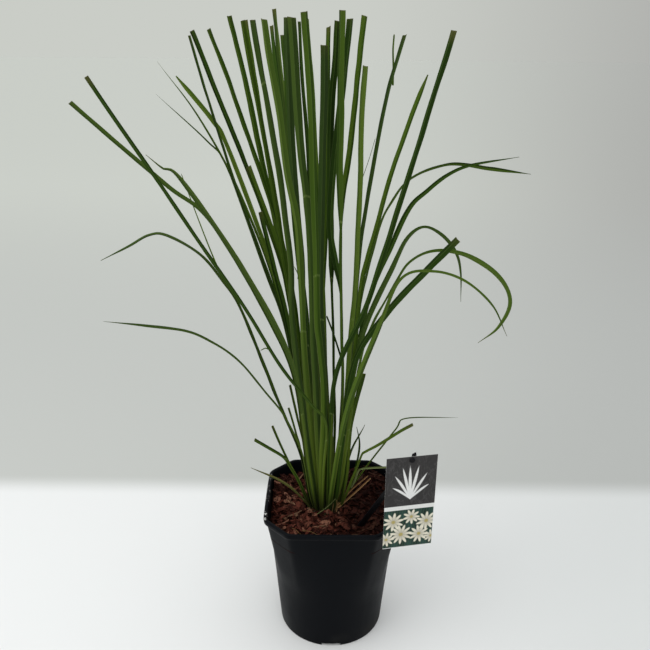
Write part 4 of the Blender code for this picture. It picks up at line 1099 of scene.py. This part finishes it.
colour = tinted(cloudy, (0.003, 0.003, 0.004), (0.007, 0.007, 0.008))
coat(shader, colour, between(cloudy, 0.3, 0.7, 0.30, 0.45), 0.12, grain(where, 1500.0, 2.0), 0.02, 0.4)
dress(stake, gloss)
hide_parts("label_stake")
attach(stake, "root")


# ---- Plant label ----
# Printed and varnished card, punched once near its top edge: slate above with a drawn tuft of
# grass, a plain pale band, and a border of pale rosettes on dark green below. It hangs on the
# stake's peg and leans a little off the pot's rim.
PRINT_STEP = 0.5
SLATE_SHARE = 0.53
BAND_SHARE = 0.575
PALE_EDGE = 0.8
SLATE = (0.030, 0.028, 0.028)
TUFT_INK = (0.74, 0.74, 0.73)
BAND_INK = (0.72, 0.72, 0.70)
EDGE_INK = (0.70, 0.71, 0.69)
DARK_GREEN = (0.010, 0.032, 0.030)
LEAF_GREEN = (0.035, 0.085, 0.030)
PETAL = (0.70, 0.66, 0.54)
HEART = (0.40, 0.33, 0.12)
CARD_BACK = (0.60, 0.60, 0.58)
TUFT_FOOT = (0.0, 57.0)
# Each drawn leaf: the point that it leans to, its tip, and its breadth.
TUFT = (((-1.0, 34.0), (-2.0, 10.5), 2.3), ((-6.0, 32.0), (-11.0, 13.0), 2.1),
        ((5.0, 32.0), (9.0, 12.0), 2.2), ((-11.0, 36.0), (-20.0, 24.0), 2.0),
        ((11.0, 36.0), (19.5, 23.0), 2.0), ((-13.0, 44.0), (-22.5, 40.0), 1.8),
        ((13.0, 44.0), (22.5, 39.0), 1.8))
# Each rosette: its middle, radius, number of petals and turn.
ROSETTES = (((-19.0, 88.0), 13.5, 10, 0.2), ((3.0, 82.5), 11.0, 9, 0.6), ((22.0, 90.5), 13.5, 10, 0.9),
            ((-9.0, 106.5), 14.5, 11, 0.1), ((13.5, 108.0), 13.0, 10, 0.5),
            ((-27.0, 112.0), 10.5, 9, 0.0), ((29.0, 113.0), 9.5, 9, 0.3))


def inked(colour, share, ink):
    """An ink laid on the print, by a share from 0 to 1 at each point."""
    return colour * (1.0 - share[..., None]) + np.asarray(ink) * share[..., None]


def tuft_leaf(u, v, lean, tip, breadth):
    """1 on a drawn leaf that bends from its foot to its tip and narrows to a point."""
    best = np.full(u.shape, -1e9)
    for s in np.linspace(0.0, 1.0, 48):
        cx, cy = [(1 - s) ** 2 * a + 2 * s * (1 - s) * b + s * s * c
                  for a, b, c in zip(TUFT_FOOT, lean, tip)]
        reach = breadth * (0.35 + 1.9 * s * (1.0 - s)) * (1.0 - s ** 6)
        best = np.maximum(best, reach - np.hypot(u - cx, v - cy))
    return np.clip(best * 3.0 + 0.5, 0.0, 1.0)


def rosette(u, v, centre, radius, petals, turn):
    """1 inside a rosette, and the colour of its petals and heart."""
    x, y = u - centre[0], v - centre[1]
    out = np.hypot(x, y) / radius
    wave = np.cos(petals * (np.arctan2(y, x) + turn))
    shade = 0.55 + 0.45 * np.clip(out * 1.3, 0.0, 1.0) + 0.10 * wave
    petal = np.array(PETAL) * shade[..., None]
    inside = np.clip((0.78 + 0.22 * wave - out) * 9.0, 0.0, 1.0)
    return inside, inked(petal, np.clip((0.22 - out) * 12.0, 0.0, 1.0), HEART)


def printed(u, v):
    """Colour of the label's front. u runs across from the middle, v down from the top, in mm."""
    wide, tall = LABEL_SIZE
    brushed = np.sin(u * 0.9 + v * 0.75) * 0.5 + np.sin(u * 0.31 - v * 0.23) * 0.5
    colour = np.array(SLATE) * (1.0 + 0.10 * brushed[..., None])
    for lean, tip, breadth in TUFT:
        colour = inked(colour, tuft_leaf(u, v, lean, tip, breadth), TUFT_INK)
    colour = inked(colour, (v > tall * SLATE_SHARE) & (v < tall * BAND_SHARE), BAND_INK)
    picture = v >= tall * BAND_SHARE
    ground = np.array(DARK_GREEN) * (1.0 + 0.5 * np.sin(u * 0.35 + 1.0) * np.sin(v * 0.22))[..., None]
    drawn_leaves = np.clip(np.sin(u * 1.9 + 2.5 * np.sin(v * 0.16)) * 2.0 - 1.1, 0.0, 1.0)
    colour = inked(colour, picture, inked(ground, drawn_leaves, LEAF_GREEN))
    for flower in ROSETTES:
        inside, petal = rosette(u, v, *flower)
        colour = inked(colour, inside * picture, petal)
    edge = ((v > tall - PALE_EDGE) | (u > wide / 2 - PALE_EDGE)) & picture
    return inked(colour, edge, EDGE_INK)


steps_u = int(LABEL_SIZE[0] / PRINT_STEP)
steps_v = int(LABEL_SIZE[1] / PRINT_STEP)
u, v = np.meshgrid(np.linspace(-0.5, 0.5, steps_u + 1) * LABEL_SIZE[0],
                   np.linspace(0.0, 1.0, steps_v + 1) * LABEL_SIZE[1], indexing="ij")
# The punched hole: points close to its rim move onto it, and faces that touch its inside go.
from_hole = np.hypot(u, v - LABEL_HOLE_DROP)
near_rim = (from_hole < LABEL_HOLE / 2 + PRINT_STEP * 0.45) & (from_hole > LABEL_HOLE / 2 - PRINT_STEP * 0.75)
scale = np.where(near_rim, LABEL_HOLE / 2 / np.maximum(from_hole, 0.01), 1.0)
u, v = u * scale, LABEL_HOLE_DROP + (v - LABEL_HOLE_DROP) * scale
inner = (np.hypot(u, v - LABEL_HOLE_DROP) < LABEL_HOLE / 2 - 0.01).ravel()
size = u.size
index = np.arange(size).reshape(u.shape)
sheet_faces = []
rims = set()
for i in range(steps_u):
    for j in range(steps_v):
        corners = [int(c) for c in (index[i, j], index[i, j + 1], index[i + 1, j + 1], index[i + 1, j])]
        if inner[corners].any():
            continue
        sheet_faces.append(tuple(corners))
        sheet_faces.append(tuple(c + size for c in corners[::-1]))
        for a, b in zip(corners, corners[1:] + corners[:1]):
            if (b, a) in rims:
                rims.remove((b, a))
            else:
                rims.add((a, b))
sheet_faces += [(b, a, a + size, b + size) for a, b in sorted(rims)]
# Points that no face uses are left out, and the others are numbered again.
kept = np.unique([corner for face in sheet_faces for corner in face])
renumbered = np.zeros(size * 2, int)
renumbered[kept] = np.arange(len(kept))
sheet_points = [LABEL_TOP_CENTRE + label_across * a - UP * b + label_front * LABEL_THICK * side
                for side in (0.5, -0.5) for a, b in zip(u.ravel(), v.ravel())]
label = add_mesh("plant_card", [tuple(sheet_points[i]) for i in kept],
                 [tuple(renumbered[list(face)].tolist()) for face in sheet_faces])
inks = np.concatenate([printed(u, v).reshape(-1, 3), np.tile(CARD_BACK, (size, 1))])
note(label, "ink", inks[kept])
card, tree, shader = finish("printed_card")
where = place_of(tree)
brush = grain(stretched(where, 500.0, 500.0, 500.0), 1.0, 3.0)
veined = grain(stretched(where, 90.0, 90.0, 38.0), 1.0, 4.0, 0.6, 1.2)
lines = between(maths("ABSOLUTE", veined - 0.5), 0.0, 0.035, 1.0, 0.0)
on_slate = between(split(where)[2], 0.2375, 0.2385)
colour = tinted(lines * on_slate * 0.10, noted(tree, "ink", "Color"), (0.24, 0.23, 0.23))
colour = tinted(between(brush, 0.3, 0.7, 0.0, 0.06), colour, (0.0, 0.0, 0.0))
coat(shader, colour, between(brush, 0.3, 0.7, 0.36, 0.44), 0.22, brush, 0.02, 0.3)
dress(label, card)
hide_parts("plant_label")
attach(label, "root")


# ---- Studio ----
# A plain pale floor, white round the pot and a soft grey behind it, a bright overcast air with
# a wide softbox on the left, and a camera at the photograph's angle.
FLOOR_REACH = 60000.0
FLOOR_SIDES = 96
spots = [math.tau * i / FLOOR_SIDES for i in range(FLOOR_SIDES)]
edge_points = [(FLOOR_REACH * math.cos(a), FLOOR_REACH * math.sin(a), 0.0) for a in spots]
floor = add_mesh("studio_floor", edge_points, [tuple(range(FLOOR_SIDES))])
paper, tree, shader = finish("studio_paper")
x, y, z = split(place_of(tree))
# Painted shade: the floor's colour is painted darker toward the right, for the light that falls from the
# left.
painted_shade_rightwards = between(maths("DIVIDE", x, y + 0.81), 0.0, 0.55)
white = tinted(painted_shade_rightwards, (0.735, 0.740, 0.730), (0.620, 0.632, 0.620))
grey = tinted(painted_shade_rightwards, (0.480, 0.490, 0.465), (0.430, 0.438, 0.420))
far = tinted(painted_shade_rightwards, (0.585, 0.600, 0.552), (0.407, 0.406, 0.386))
grey = tinted(between(y, 0.5, 3.5), grey, far)
feed(shader.inputs["Base Color"], tinted(between(y, 0.270, 0.335), white, grey))
feed(shader.inputs["Roughness"], 0.9)
feed(shader.inputs["Specular IOR Level"], 0.1)
dress(floor, paper)

sky = bpy.data.worlds.new("studio_air")
bpy.context.scene.world = sky
sky.use_nodes = True
x, y, z = split(place_of(sky.node_tree, "Generated"))
low_air = tinted(between(x, 0.0, 0.55), (0.590, 0.610, 0.570), (0.410, 0.413, 0.398))
air = tinted(between(z, 0.12, 0.75), low_air, (1.12, 1.14, 1.16))
background = sky.node_tree.nodes["Background"]
feed(background.inputs["Color"], air)
feed(background.inputs["Strength"], 1.0)


def softbox(name, place, aim, size, power):
    """A rectangular lamp that faces a point."""
    lamp = bpy.data.lights.new(name, "AREA")
    lamp.shape = "RECTANGLE"
    lamp.size, lamp.size_y = size
    lamp.energy = power
    made = bpy.data.objects.new(name, lamp)
    made.location = place
    made.rotation_mode = "QUATERNION"
    made.rotation_quaternion = (Vector(aim) - Vector(place)).to_track_quat("-Z", "Y")
    bpy.context.scene.collection.objects.link(made)


softbox("left_softbox", (-1.5, -0.9, 1.9), (0.0, 0.0, 0.3), (1.6, 1.4), 16.0)
softbox("front_softbox", (0.6, -2.2, 1.8), (0.0, 0.0, 0.35), (1.6, 1.6), 8.0)

PITCH = math.radians(20.98)
ROLL = math.radians(0.57)
CAMERA_PLACE = Vector((-0.0121, -0.8099, 0.7411))
FOCAL_PIXELS = 719.0
FRAME_PIXELS = 650.0
SENSOR = 36.0
lens = bpy.data.cameras.new("photo_camera")
lens.sensor_width = SENSOR
lens.lens = FOCAL_PIXELS / FRAME_PIXELS * SENSOR
lens.clip_end = 200.0
camera = bpy.data.objects.new("photo_camera", lens)
right = Vector((1.0, 0.0, 0.0))
ahead = Vector((0.0, math.cos(PITCH), -math.sin(PITCH)))
above = right.cross(ahead)
tilted_right = right * math.cos(ROLL) + above * math.sin(ROLL)
tilted_up = above * math.cos(ROLL) - right * math.sin(ROLL)
turned = Matrix((tilted_right, tilted_up, -ahead)).transposed()
camera.matrix_world = Matrix.Translation(CAMERA_PLACE) @ turned.to_4x4()
bpy.context.scene.collection.objects.link(camera)
bpy.context.scene.camera = camera
bpy.context.scene.view_settings.view_transform = "Standard"
